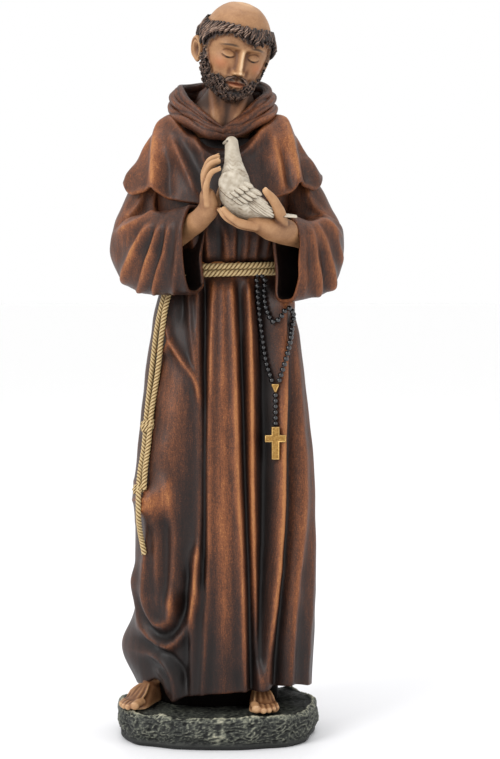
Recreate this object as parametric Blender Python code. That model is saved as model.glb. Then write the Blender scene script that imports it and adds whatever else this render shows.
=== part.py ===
"""Painted resin statue of a barefoot friar in a hooded habit, holding a dove, on a rock base, with a bead rosary.

The figure is one casting: habit, cape, hood, head, hands, dove, feet and knotted cord. The rock base under its
feet, the bead strings, the centre medal and the cross are pieces of their own.
The origin is the middle of the base's underside, the front faces -Y and the figure stands up along +Z.

The figure is worked out in figure units: its height from the soles to the crown is FIGURE_UNITS of them, so at the
real size one unit is one millimetre. In the front view a point of the figure is (x, z), with z counted from the soles.
"""

import math

import bpy
import numpy as np
from mathutils import Euler, Matrix, Vector
from mathutils.bvhtree import BVHTree

# Driving sizes, in metres
FIGURE_HEIGHT = 0.440
BASE_WIDTH = 0.125
BASE_DEPTH = 0.081
BASE_HEIGHT = 0.0197
BASE_UNDERCUT = 0.0035
# How far the base's middle lies ahead of the figure's, and how deep its wall is broken
BASE_AHEAD = 0.002
ROCK_BREAK = 0.0009
SEAT_GAP = 0.0003
BEAD_DIAMETER = 0.0031
BEAD_PITCH = 0.0036
BEAD_WIRE = 0.0014
BEAD_CLEARANCE = 0.0004
MEDAL_WIDTH = 0.0046
MEDAL_HEIGHT = 0.0052
MEDAL_THICKNESS = 0.0018
CROSS_HEIGHT = 0.0202
CROSS_WIDTH = 0.0131
CROSS_BAR = 0.0049
CROSS_THICKNESS = 0.0022
PIECE_GAP = 0.0004

FIGURE_UNITS = 440.0
UNIT = FIGURE_HEIGHT / FIGURE_UNITS
SOLE_HEIGHT = BASE_HEIGHT + SEAT_GAP
# The casting is merged, thinned and cut at this size and place and then set to the real ones, so that its skin
# closes in the same way whatever the real sizes are
DRAWN_UNIT = 0.001
DRAWN_SOLES = 0.020
CUTTER_SIDE = 0.4

# Carving, in figure units: the cloth at its hems, how deep the sleeves are hollow, and the cords' thickness
CLOTH_THICKNESS = 2.6
SLEEVE_HOLLOW = 22.0
WAIST_CORD = 4.2
HANGING_CORD = 3.2
# How far the skirt's lip turns under its hem
HEM_LIP = 0.4

# How finely the casting is modelled, in figure units and in triangles
CASTING_GRAIN = 1.1
FIGURE_TRIANGLES = 7300
# The head, the hands with the dove, and the feet keep more of the triangles than the plain cloth
FINE_ABOVE, FINE_BEFORE, FINE_BELOW, PLAIN_SHARE = 376.0, -48.0, 9.0, 0.75

BELT = 271.0
SKIRT_TOP = 274.0

# Skirt sections: height, centre x, half width, half depth, centre y
SKIRT = (
    (0, 5.0, 54.5, 40.5, 1.5),
    (40, 5.5, 55.5, 40.0, 1.5),
    (76, 4.7, 56.8, 39.0, 1.0),
    (126, 4.0, 55.6, 38.0, 1.0),
    (177, 3.5, 52.0, 36.0, 1.0),
    (227, 3.2, 46.0, 32.0, 0.0),
    (254, 3.5, 41.0, 28.5, 0.0),
    (270, 3.2, 35.0, 24.5, 0.0),
    (280, 3.0, 34.0, 24.0, 0.0),
)
# Height of the skirt's hem by angle from the front, in degrees, positive towards +X
HEM = (
    (-180, 4.0),
    (-135, 4.5),
    (-105, 8.0),
    (-78, 15.0),
    (-60, 20.0),
    (-47, 14.0),
    (-36, 6.0),
    (-24, 9.5),
    (-5, 12.0),
    (25, 14.0),
    (42, 15.5),
    (62, 13.0),
    (90, 9.5),
    (135, 5.0),
    (180, 4.0),
)
# Upright pleats of the skirt's front: x at the belt, at mid height and at the hem, then height and width
PLEATS = (
    (-2.4, -5.8, -10.5, 4.0, 2.6),
    (8.3, 12.3, 16.8, 4.0, 2.6),
    (18.2, 20.9, 23.0, 3.4, 2.2),
    (43.0, 38.4, 28.0, 4.8, 3.4),
    (45.0, 50.5, 41.5, 4.6, 3.4),
    (-12.5, -9.7, -19.0, 2.6, 2.4),
    (3.0, 3.4, 3.4, -1.2, 5.0),
    (13.6, 17.2, 20.0, -4.0, 2.4),
    (-7.9, -7.9, -14.5, -3.4, 2.0),
    (26.0, 29.0, 25.5, -5.6, 5.4),
    (42.5, 44.2, 35.0, -4.4, 3.4),
)
PLEAT_HEIGHTS = (266.0, 140.0, 15.0)
# Folds that leave the upright: height, width, then the line that each follows in the front view
SKIRT_FOLDS = (
    (3.2, 2.6, ((-28, 256), (-27.5, 226), (-21, 215), (-13, 203), (-9.8, 186))),
    (2.4, 2.0, ((-27.5, 227), (-32, 221), (-38, 221))),
    (1.8, 2.0, ((-17, 256), (-16.5, 228), (-12.5, 205))),
    (1.6, 2.2, ((-36, 131), (-45, 136))),
    (1.6, 2.2, ((-36, 130), (-45, 118))),
    (2.8, 2.4, ((-36.5, 126), (-40, 112), (-43.5, 66), (-37.5, 51.5), (-31, 57), (-26.5, 88), (-25, 114))),
    (2.0, 2.2, ((-31.5, 124), (-34, 104), (-35.5, 78))),
    (3.2, 2.8, ((-49.5, 74), (-46, 53), (-37.5, 40.5), (-26, 46), (-14.5, 68), (-11.5, 102))),
    (3.2, 2.8, ((-45, 36), (-34, 34), (-26.5, 28), (-28.6, 5))),
)
# The bent leg under the cloth: hip and knee in the front view, how far each pushes forward, and its width
HIP, KNEE = (-22.0, 222.0), (-37.0, 131.0)
HIP_PUSH, KNEE_PUSH, LEG_WIDTH = 2.0, 8.0, 15.0
# The cloth thrown out behind the left ankle: angle, height and reach
FLARE_ANGLE, FLARE_HEIGHT, FLARE_REACH = -105.0, 31.0, 12.5
# Where the cloth tucks in above the left foot: angle and depth
ANKLE_ANGLE, ANKLE_TUCK = -62.0, 5.0
BACK_PLEATS = 9

# Torso sections: height, half width, half depth
TORSO = (
    (256, 32.0, 22.0),
    (268, 33.0, 23.5),
    (275, 33.5, 24.0),
    (280, 37.0, 27.5),
    (287, 40.0, 30.5),
    (300, 40.5, 30.5),
    (335, 45.0, 29.0),
    (352, 40.0, 24.0),
)
BLOUSE_PLEATS = ((-15, 2.6), (-4, 3.4), (5, 3.4), (13, 3.0), (22, 3.4), (31, 2.6))

# Cape sections from the neck (0) to the hem (1): half width, half depth, then height at the side, front and back
CAPE = (
    (0.00, 21.0, 20.0, 379.0, 353.0, 378.0),
    (0.20, 33.0, 25.5, 370.5, 347.0, 367.0),
    (0.42, 43.5, 30.5, 356.5, 338.0, 352.0),
    (0.70, 53.5, 34.5, 340.0, 325.0, 334.0),
    (1.00, 62.0, 38.0, 325.0, 311.0, 318.0),
)
CAPE_CENTRE = 3.5
# The cape's hem: how far it drops below or stays above those heights, by angle
CAPE_HEM = (
    (-180, 0.0),
    (-120, 1.0),
    (-92, 2.0),
    (-70, -3.5),
    (-47, 4.5),
    (-28, 1.0),
    (0, 0.0),
    (25, 1.5),
    (38, 3.0),
    (50, 7.5),
    (68, -0.5),
    (88, 5.0),
    (125, 1.0),
    (180, 0.0),
)
# Cape ridges and hollows: height, width, line in the front view
CAPE_FOLDS = (
    (3.4, 3.4, ((-38, 362), (-41, 345), (-39, 325))),
    (2.4, 3.0, ((-34, 356), (-25.5, 341), (-17, 318))),
    (2.6, 2.8, ((-28, 361), (-15, 348), (-7, 340), (5, 335), (16, 340), (24, 348), (31, 359))),
    (3.6, 3.0, ((41, 364), (48, 345), (50, 326))),
    (-3.0, 4.6, ((-48, 346), (-50, 320))),
    (-2.6, 4.2, ((-31, 340), (-29, 316))),
    (-3.0, 4.6, ((55, 350), (58.5, 323))),
    (-2.0, 5.0, ((36, 352), (36, 318))),
)

# Hood roll by angle from the front: centre x offset, centre y, centre height, half thickness, half height
HOOD = (
    (0, 0.0, -25.5, 352.5, 4.4, 4.2),
    (25, 9.5, -21.5, 355.5, 5.6, 6.4),
    (50, 18.5, -14.5, 364.0, 6.6, 8.8),
    (90, 24.5, 1.0, 376.0, 7.2, 10.4),
    (140, 17.0, 17.0, 382.0, 7.6, 11.0),
    (180, 0.0, 22.0, 383.0, 8.0, 11.0),
)
HOOD_CENTRE = 3.2
# Hood bag down the back: height, half width, half depth, centre y
HOOD_BAG = (
    (390, 15.0, 5.0, 22.0),
    (380, 23.0, 9.0, 24.0),
    (362, 25.0, 10.0, 29.0),
    (344, 19.0, 8.0, 34.0),
    (330, 10.0, 5.5, 37.0),
    (321, 3.0, 3.0, 38.0),
)

# Neck sections: height, centre x, centre y, half width, half depth
NECK = (
    (346, 3.0, -8.0, 15.0, 15.0),
    (360, 4.0, -5.0, 15.0, 14.5),
    (374, 6.0, -4.0, 12.8, 13.0),
    (394, 9.0, -4.0, 12.5, 13.0),
)

# Head: its place and its turn in degrees
HEAD_CENTRE = (10.6, -8.0, 407.5)
HEAD_PITCH, HEAD_ROLL, HEAD_YAW = 20.0, 9.0, 16.0
# Head sections, from the chin to the crown: height, half width, then reach to the front and to the back
HEAD = (
    (-29.5, 3.0, 13.0, -5.0),
    (-27.5, 8.0, 18.5, 1.0),
    (-24.0, 12.0, 21.5, 5.0),
    (-18.0, 15.6, 21.5, 11.0),
    (-11.0, 17.6, 21.0, 19.0),
    (-4.0, 19.0, 21.0, 24.0),
    (5.0, 19.8, 22.5, 26.5),
    (13.0, 20.2, 23.2, 27.0),
    (19.0, 19.4, 21.5, 25.5),
    (25.0, 16.0, 17.0, 20.5),
    (29.0, 10.5, 10.5, 13.0),
    (30.6, 3.0, 3.0, 4.0),
)
# Forms of the face on one side, mirrored to the other: x, height, half spread in x and height, how far they push out
FACE_FORMS = (
    (8.2, -0.5, 5.2, 4.2, -3.6),
    (8.2, -1.0, 3.6, 2.6, 2.6),
    (8.4, 5.2, 5.6, 1.9, 1.7),
    (12.0, -8.0, 4.6, 4.6, 1.5),
    (0.0, -3.0, 1.7, 4.0, 2.4),
    (0.0, -7.0, 1.9, 3.6, 3.6),
    (0.0, -10.2, 2.3, 2.0, 5.4),
    (3.3, -11.0, 1.6, 1.6, 2.6),
    (2.6, -15.8, 3.0, 1.0, 1.5),
    (0.0, -19.0, 4.0, 1.3, 2.4),
    (0.0, -21.4, 4.0, 1.0, -1.0),
    (0.0, -25.0, 4.6, 3.0, 1.6),
)
BEARD_DEPTH, HAIR_DEPTH, LOCKS = 4.2, 3.8, 15

# The sleeves, with -1 for the arm on the -X side. Each runs from under the cape round the elbow to its cuff:
# share of the way, centre, half width across the arm, and half height from the elbow's side to the crook's side
SLEEVES = {
    -1: (
        (0.00, (-33, 4, 347), (10, 0, 0), (0, -10, 0)),
        (0.20, (-42, 5, 318), (15, 0, 0), (0, -15, 0)),
        (0.36, (-48.5, 5, 297), (17, 1, 0), (0, -16, 3)),
        (0.50, (-51, 1, 283), (15.5, 5, 0), (0, -12, 17)),
        (0.65, (-45, -12, 281), (12, 10, 0), (0, -2, 24)),
        (0.82, (-31, -28, 281), (9, 12, 0), (0, 0, 25.5)),
        (1.00, (-15, -42, 282), (6.2, 12, 0), (0, 0, 26)),
    ),
    1: (
        (0.00, (40, 4, 347), (10, 0, 0), (0, -10, 0)),
        (0.20, (52, 5, 318), (15.5, 0, 0), (0, -15.5, 0)),
        (0.36, (60, 5, 299), (17, -1, 0), (0, -16, 3)),
        (0.50, (63.5, 1, 287), (15.5, -4, 0), (0, -12, 17)),
        (0.65, (61, -12, 280), (14.5, -7, 0), (0, -2, 23)),
        (0.82, (53, -28, 277), (10.5, -10, 0), (0, 0, 24)),
        (1.00, (41.5, -42, 275.5), (7.4, -11.5, 0), (0, 0, 24.5)),
    ),
}
# Sleeve folds fanning out from the crook of each elbow: height, width, end points in the front view
SLEEVE_FOLDS = (
    (3.0, 2.6, ((-36, 305), (-47, 299), (-62, 291))),
    (3.2, 2.6, ((-34, 304), (-46, 288), (-56, 264))),
    (3.0, 2.6, ((-28, 304), (-35, 286), (-41, 260))),
    (-2.6, 3.0, ((-38, 298), (-47, 280), (-50, 260))),
    (3.0, 2.6, ((54, 301), (67, 294), (76, 286))),
    (3.2, 2.6, ((56, 300), (63, 284), (69, 262))),
    (2.8, 2.4, ((52, 298), (56, 280), (58, 258))),
    (-2.4, 3.0, ((58, 292), (62, 274), (63, 262))),
)

# Bare forearms and hands: each line is a limb's centre path with its radii
FOREARMS = (
    (((-34, -40, 283), (-20, -54, 293), (-10, -60, 302)), (6.4, 5.8, 5.4)),
    (((58, -36, 283), (45, -52, 290), (35, -59, 294)), (7.0, 6.4, 6.0)),
)
# Palms: centre, half sizes, and turn about the Y axis in degrees
PALMS = (
    ((-6.2, -61, 312), (4.2, 10.0, 13.0), 4.0),
    ((24.5, -61, 296.5), (13.5, 10.5, 4.6), 18.0),
)
# Fingers and thumbs: four joints from the knuckle to the tip, then the radius at the knuckle and at the tip
FINGERS = (
    (((-5.5, -69, 314), (-4.8, -70, 321), (-1.0, -70, 325.5), (2.6, -69, 328.5)), 2.4, 1.8),
    (((-6.5, -65, 317), (-6.6, -66, 326), (-2.6, -66, 331.5), (2.0, -65, 334.5)), 2.5, 1.9),
    (((-6.5, -60, 318), (-7.0, -60, 328), (-3.4, -60, 334.0), (1.6, -59, 337.0)), 2.5, 1.9),
    (((-6.0, -55, 316), (-6.5, -54, 326), (-2.5, -54, 332.0), (2.6, -53, 334.5)), 2.5, 1.9),
    (((-3.0, -53, 304), (0.0, -49, 312), (2.0, -48, 318.0), (4.0, -48, 323.0)), 3.2, 2.2),
    (((18.0, -69, 298), (10.5, -70, 302), (6.0, -69, 305.5), (2.8, -68, 308.5)), 2.8, 2.0),
    (((17.0, -64, 297), (8.5, -65, 301), (3.5, -64, 304.5), (0.5, -63, 308.0)), 2.8, 2.0),
    (((17.0, -59, 297), (9.0, -59, 301), (4.0, -59, 304.5), (1.2, -58, 308.0)), 2.7, 2.0),
    (((19.0, -54, 297), (12.0, -53, 301), (8.0, -53, 304.0), (5.0, -52, 307.0)), 2.5, 1.8),
    (((38.0, -63, 297), (36.0, -68, 304), (32.0, -70, 311.0), (26.0, -69, 318.5)), 3.8, 2.2),
)

# Dove: centre path with half height (in the front view) and half thickness, from the crown to the tail
DOVE_BODY = (
    ((8.6, -60, 349.6), 1.6, 1.6),
    ((8.6, -60, 347.0), 4.3, 4.0),
    ((9.2, -60, 341.5), 4.6, 4.3),
    ((9.4, -60, 334.0), 5.2, 5.0),
    ((10.0, -60, 325.0), 8.4, 7.4),
    ((11.0, -60, 315.0), 10.4, 9.2),
    ((16.5, -60, 307.5), 9.0, 8.2),
    ((27.0, -60, 304.0), 4.6, 6.0),
    ((38.0, -58, 303.5), 2.2, 5.4),
    ((47.0, -56, 302.0), 1.6, 5.6),
)
DOVE_BEAK = (((6.0, -60.5, 346.2), (1.6, -61.0, 344.4)), 2.0, 1.0)
# Wing: shoulder, middle and tip of the centre line on the near side, its half width, and how far it stands out
WING = (((5.0, -67, 322), (14.0, -70.5, 314), (33.5, -67, 301)), 7.5, 2.0)

# Feet: ankle and toe line on the sole plane, with -1 for the foot on the -X side
FEET = {-1: ((-41.0, -4.0), (-55.0, -27.0)), 1: ((26.5, -6.0), (28.5, -29.0))}
FOOT_WIDTH = 10.5

# Above these heights the cord and the beads lie behind a sleeve: the search for the cloth starts at these depths
CORD_UNDER_SLEEVE = (246.0, -16.0)
BEADS_UNDER_SLEEVE = (247.0, -27.5)
# Knotted cord at the side: its two strands as lines in the front view, and the knots on them
CORD_STRANDS = (
    ((-33, 256), (-34.8, 248), (-37.2, 237), (-40, 215), (-44.3, 178), (-45.5, 162), (-48, 146), (-48.6, 130), (-48, 112), (-45.4, 96)),
    ((-30, 256), (-32.0, 248), (-33.6, 238), (-36.5, 212), (-41.4, 178), (-42.6, 164), (-44.4, 150), (-45.2, 137)),
)
KNOTS = (((-43.2, 175.5), 3.4), ((-48.4, 137.5), 2.7))

# Rosary, in the front view: the string from the medal up to the belt, the swag, and back down to the medal
ROSARY_LOOP = (
    (33.0, 204.0),
    (29.8, 213.0),
    (27.0, 230.0),
    (25.0, 247.0),
    (24.2, 260.0),
    (24.8, 268.5),
    (27.6, 267.0),
    (28.4, 256.0),
    (30.0, 246.0),
    (34.6, 239.0),
    (38.6, 242.0),
    (41.0, 246.0),
    (44.0, 247.5),
    (46.4, 244.0),
    (45.8, 236.0),
    (42.6, 220.0),
    (37.6, 204.0),
)
MEDAL_PLACE = (35.2, 198.5)
CROSS_PLACE = 165.0


def keyed(keys, at):
    """Smooth curve through rows of (position, values...): cubic pieces whose slopes are the neighbours' mean slope."""
    keys = np.asarray(keys, float)
    at = np.asarray(at, float)
    place, value = keys[:, 0], keys[:, 1:]
    slope = np.gradient(value, place, axis=0)
    i = np.clip(np.searchsorted(place, at, side="right") - 1, 0, len(place) - 2)
    span = place[i + 1] - place[i]
    t = np.clip((at - place[i]) / span, 0, 1)[..., None]
    span = span[..., None]
    low, high = value[i], value[i + 1]
    return (
        low * (1 + 2 * t) * (1 - t) ** 2
        + high * t * t * (3 - 2 * t)
        + slope[i] * span * t * (1 - t) ** 2
        - slope[i + 1] * span * t * t * (1 - t)
    )


def smooth_line(points, count):
    """A smooth line through the points, read at count places an equal way apart."""
    points = np.asarray(points, float)
    along = np.concatenate([[0], np.cumsum(np.linalg.norm(np.diff(points, axis=0), axis=1))])
    return keyed(np.column_stack([along, points]), np.linspace(0, along[-1], count))


def smooth_step(low, high, value):
    t = np.clip((value - low) / (high - low), 0, 1)
    return t * t * (3 - 2 * t)


def distance_to_line(x, z, line):
    """How far each point of the front view is from a smooth line."""
    line = smooth_line(line, 6 * len(line))
    start, step = line[:-1], np.diff(line, axis=0)
    away = np.stack([x, z], axis=-1)[..., None, :] - start
    share = np.clip((away * step).sum(-1) / (step * step).sum(-1), 0, 1)
    return np.linalg.norm(away - share[..., None] * step, axis=-1).min(-1)


def ridge(distance, width):
    """A crest of height 1 that falls away on both sides, sharper on top than a bell curve."""
    return np.exp(-((np.abs(distance) / width) ** 1.4))


def outward(grid):
    """Unit normals of a grid of points whose rows are closed rings."""
    down = np.gradient(grid, axis=0)
    around = np.roll(grid, -1, axis=1) - np.roll(grid, 1, axis=1)
    normal = np.cross(around, down)
    normal /= np.maximum(np.linalg.norm(normal, axis=-1, keepdims=True), 1e-9)
    middle = grid.mean(axis=1, keepdims=True)
    facing = np.sign((normal * (grid - middle)).sum(-1).mean())
    return normal * facing


def oval(angle, half_width, half_depth, power=2.25):
    """A rounded oval in plan: angle 0 is the front, at -Y, and a quarter turn is +X."""
    s, c = np.sin(angle), np.cos(angle)
    x = half_width * np.sign(s) * np.abs(s) ** (2 / power)
    y = -half_depth * np.sign(c) * np.abs(c) ** (2 / power)
    return x, y


def folded(grid, folds):
    """The grid with each fold raised along its normals where the cloth faces the front."""
    normal = outward(grid)
    front = smooth_step(0.05, 0.55, -normal[..., 1])
    lift = sum(
        height * ridge(distance_to_line(grid[..., 0], grid[..., 2], line), width)
        for height, width, line in folds
    )
    return grid + normal * (lift * front)[..., None]


def skirt_rings(rows, around):
    """Skirt from the belt to the hem: ovals, pleats and folds, then its lip, its inside and the core to the soles."""
    angle = np.linspace(-math.pi, math.pi, around, endpoint=False)
    hem = keyed(HEM, np.degrees(angle))[:, 0]
    down = np.linspace(0, 1, rows)[:, None]
    z = SKIRT_TOP + (hem[None, :] - SKIRT_TOP) * down
    centre_x, half_width, half_depth, centre_y = np.moveaxis(keyed(SKIRT, z), -1, 0)
    x, y = oval(angle[None, :], half_width, half_depth)
    x, y = x + centre_x, y + centre_y
    grid = np.stack([x, y, z], axis=-1)
    normal = outward(grid)
    front = smooth_step(0.05, 0.5, -normal[..., 1])
    lower = 1 - z / SKIRT_TOP
    lift = np.zeros_like(z)
    for top, middle, bottom, height, width in PLEATS:
        line = keyed(sorted(zip(PLEAT_HEIGHTS, (top, middle, bottom))), z)[..., 0]
        lift += height * (0.55 + 0.45 * lower) * ridge(x - line, width)
    for height, width, line in SKIRT_FOLDS:
        lift += height * ridge(distance_to_line(x, z, line), width)
    leg = distance_to_line(x, z, (HIP, KNEE))
    share = smooth_step(HIP[1], KNEE[1], z)
    lift += (HIP_PUSH + (KNEE_PUSH - HIP_PUSH) * share) * np.exp(-((leg / LEG_WIDTH) ** 2))
    lift *= front
    behind = smooth_step(-0.3, 0.6, normal[..., 1])
    wave = 1 - np.abs(np.sin(angle * BACK_PLEATS / 2 + 0.5 * np.sin(3 * angle)))[None, :]
    lift += behind * (1.0 + 5.0 * lower) * (wave - 0.4)
    turn = (np.degrees(angle)[None, :] - FLARE_ANGLE) / 24.0
    lift += FLARE_REACH * np.exp(-(turn**2) - ((z - FLARE_HEIGHT) / 19.0) ** 2)
    turn = (np.degrees(angle)[None, :] - ANKLE_ANGLE) / 20.0
    lift -= ANKLE_TUCK * np.exp(-(turn**2)) * smooth_step(70, 20, z)
    grid = grid + normal * lift[..., None]
    wall = CLOTH_THICKNESS
    edge = grid[-1]
    inward = -normal[-1] * [1, 1, 0]
    lip = edge + inward * wall * 0.5 - [0, 0, HEM_LIP]
    inner = edge + inward * wall
    roof = edge * [1, 1, 0] + inward * wall * 1.5 + [0, 0, 1] * (hem[:, None] + 9.0)
    core_x, core_y = oval(angle, 38.0, 25.0)
    core_top = np.column_stack([core_x, core_y + 2.0, np.full(around, 26.0)])
    core_foot = core_top * [1, 1, 0] - [0, 0, 2.0]
    return np.concatenate([grid, [lip, inner, roof, core_top, core_foot]])


def torso_rings(rows, around):
    """The bodice between the belt and the cape, bloused over the belt, with pleats gathered to it."""
    angle = np.linspace(-math.pi, math.pi, around, endpoint=False)
    z = np.repeat(np.linspace(TORSO[0][0], TORSO[-1][0], rows)[:, None], around, axis=1)
    half_width, half_depth = np.moveaxis(keyed(TORSO, z), -1, 0)
    x, y = oval(angle[None, :], half_width, half_depth)
    grid = np.stack([x + 3.0, y, z], axis=-1)
    blouse = smooth_step(272, 286, z)
    lift = sum(height * ridge(grid[..., 0] - at, 2.2) for at, height in BLOUSE_PLEATS) * blouse
    return grid + outward(grid) * lift[..., None]


def cape_rings(rows, around):
    """The shoulder cape: ovals that widen and drop from the neck to the wavy hem, then its lip and its inside."""
    angle = np.linspace(-math.pi, math.pi, around, endpoint=False)
    share = np.linspace(0, 1, rows)[:, None] * np.ones(around)[None, :]
    half_width, half_depth, side, front, back = np.moveaxis(keyed(CAPE, share), -1, 0)
    x, y = oval(angle[None, :], half_width, half_depth, 2.15)
    fore = np.maximum(np.cos(angle), 0)[None, :] ** 1.5
    aft = np.maximum(-np.cos(angle), 0)[None, :] ** 1.5
    z = side * (1 - fore - aft) + front * fore + back * aft
    z += keyed(CAPE_HEM, np.degrees(angle))[:, 0][None, :] * share**3
    grid = folded(np.stack([x + CAPE_CENTRE, y, z], axis=-1), CAPE_FOLDS)
    wave = 1 - np.abs(np.sin(angle * 3.5))[None, :]
    behind = smooth_step(0.2, 0.9, -np.cos(angle))[None, :]
    grid = grid + outward(grid) * (behind * 5.0 * share**2 * (wave - 0.4))[..., None]
    wall = CLOTH_THICKNESS
    normal = outward(grid)
    lip = grid[-1] - normal[-1] * wall * 0.5 - [0, 0, 0.8]
    inside = [grid[row] - normal[row] * wall for row in (-1, -rows // 4, -rows // 2)]
    return np.concatenate([grid, [lip], inside])


def hood_rings(rows, around):
    """The rolled hood round the neck: an oval section of three soft rolls, carried round a ring that dips in front."""
    angle = np.linspace(-math.pi, math.pi, rows, endpoint=False)
    offset, centre_y, centre_z, thick, tall = keyed(HOOD, np.degrees(np.abs(angle))).T
    centre = np.column_stack([HOOD_CENTRE + np.sign(angle) * offset, centre_y, centre_z])
    out = np.column_stack([np.sin(angle), -np.cos(angle), np.zeros(rows)])
    turn = np.linspace(0, 2 * math.pi, around, endpoint=False)
    rolls = 1 + 0.10 * np.cos(4 * turn[None, :] + 0.8 * np.sin(2 * angle)[:, None])
    across = (thick[:, None] * rolls * np.cos(turn))[..., None] * out[:, None, :]
    tilt = 0.35 * (tall[:, None] * rolls * np.sin(turn))[..., None] * out[:, None, :]
    up = (tall[:, None] * rolls * np.sin(turn))[..., None] * np.array([0, 0, 1.0])
    return centre[:, None, :] + across + tilt + up


def stacked_ovals(sections, rows, around, power=2.0):
    """A closed form from ovals at rows of (height, centre x, centre y, half width, half depth)."""
    sections = np.array(sorted(sections), float)
    height = np.linspace(sections[0, 0], sections[-1, 0], rows)
    centre_x, centre_y, half_width, half_depth = keyed(sections, height).T
    angle = np.linspace(-math.pi, math.pi, around, endpoint=False)
    x, y = oval(angle[None, :], half_width[:, None], half_depth[:, None], power)
    z = np.repeat(height[:, None], around, axis=1)
    return np.stack([x + centre_x[:, None], y + centre_y[:, None], z], axis=-1)


def limb_rings(points, radii, rows, sides, flatten=1.0):
    """A round-ended limb: circles carried along a smooth line, their radius closing to nothing at both ends."""
    line = smooth_line(points, rows * 4)
    along = np.concatenate([[0], np.cumsum(np.linalg.norm(np.diff(line, axis=0), axis=1))])
    spans = np.concatenate([[0], np.cumsum(np.linalg.norm(np.diff(np.asarray(points, float), axis=0), axis=1))])
    places = spans if len(radii) == len(points) else np.linspace(0, spans[-1], len(radii))
    radius = np.interp(np.linspace(0, spans[-1], len(line)), places, radii)
    steps = (1 - np.cos(np.linspace(0.06, math.pi - 0.06, rows))) / 2 * along[-1]
    centre = np.column_stack([np.interp(steps, along, line[:, k]) for k in range(3)])
    size = np.interp(steps, along, radius)
    start, end = radii[0], radii[-1]
    size *= np.sqrt(np.clip(1 - np.clip(1 - steps / start, 0, 1) ** 2, 0.01, 1))
    size *= np.sqrt(np.clip(1 - np.clip(1 - (along[-1] - steps) / end, 0, 1) ** 2, 0.01, 1))
    tangent = np.gradient(centre, axis=0)
    tangent /= np.linalg.norm(tangent, axis=1, keepdims=True)
    across = np.cross(tangent, [0.0, 1.0, 0.05])
    across /= np.linalg.norm(across, axis=1, keepdims=True)
    over = np.cross(across, tangent)
    turn = np.linspace(0, 2 * math.pi, sides, endpoint=False)
    ring = across[:, None, :] * np.cos(turn)[None, :, None]
    ring = ring + over[:, None, :] * np.sin(turn)[None, :, None] * flatten
    return centre[:, None, :] + ring * size[:, None, None]


def ball_rings(centre, half_sizes, rows, sides, turn=None):
    """An ellipsoid as rings from pole to pole, turned about its own centre."""
    lift = np.linspace(-math.pi / 2 + 0.08, math.pi / 2 - 0.08, rows)
    round_ = np.linspace(0, 2 * math.pi, sides, endpoint=False)
    x = np.cos(lift)[:, None] * np.cos(round_)[None, :]
    y = np.cos(lift)[:, None] * np.sin(round_)[None, :]
    z = np.repeat(np.sin(lift)[:, None], sides, axis=1)
    grid = np.stack([x, y, z], axis=-1) * np.asarray(half_sizes, float)
    if turn is not None:
        grid = grid @ np.array(turn).T
    return grid + np.asarray(centre, float)


def sleeve_rings(keys, rows, around):
    """A wide sleeve: ovals that turn with the arm at the elbow, down to the cuff, then its lip and its hollow."""
    table = [(share, *centre, *across, *tall) for share, centre, across, tall in keys]
    values = keyed(table, np.linspace(0, 1, rows))
    turn = np.linspace(0, 2 * math.pi, around, endpoint=False)
    c, s = np.cos(turn)[None, :, None], np.sin(turn)[None, :, None]
    grid = values[:, None, 0:3] + values[:, None, 3:6] * s + values[:, None, 6:9] * c
    grid = folded(grid, SLEEVE_FOLDS)
    wall = CLOTH_THICKNESS
    normal = outward(grid)
    forward = np.subtract(keys[-1][1], keys[-2][1])
    forward = forward / np.linalg.norm(forward)
    lip = grid[-1] - normal[-1] * wall * 0.5 + forward * 0.5
    hollow = SLEEVE_HOLLOW
    inside = [grid[-1] - normal[-1] * wall - forward * hollow * share for share in (0, 0.5, 1.0)]
    centre = inside[-1].mean(axis=0)
    bottom = centre + (inside[-1] - centre) * 0.6
    return np.concatenate([grid, [lip], inside, [bottom]])


def head_turn():
    """The head's pitch, roll and yaw as one matrix."""
    turned = Euler((math.radians(HEAD_PITCH), math.radians(HEAD_ROLL), math.radians(HEAD_YAW)), "XYZ")
    return np.array(turned.to_matrix())


def on_head(points):
    """Points about the head's centre, turned and put in their place."""
    return points @ head_turn().T + HEAD_CENTRE


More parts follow.
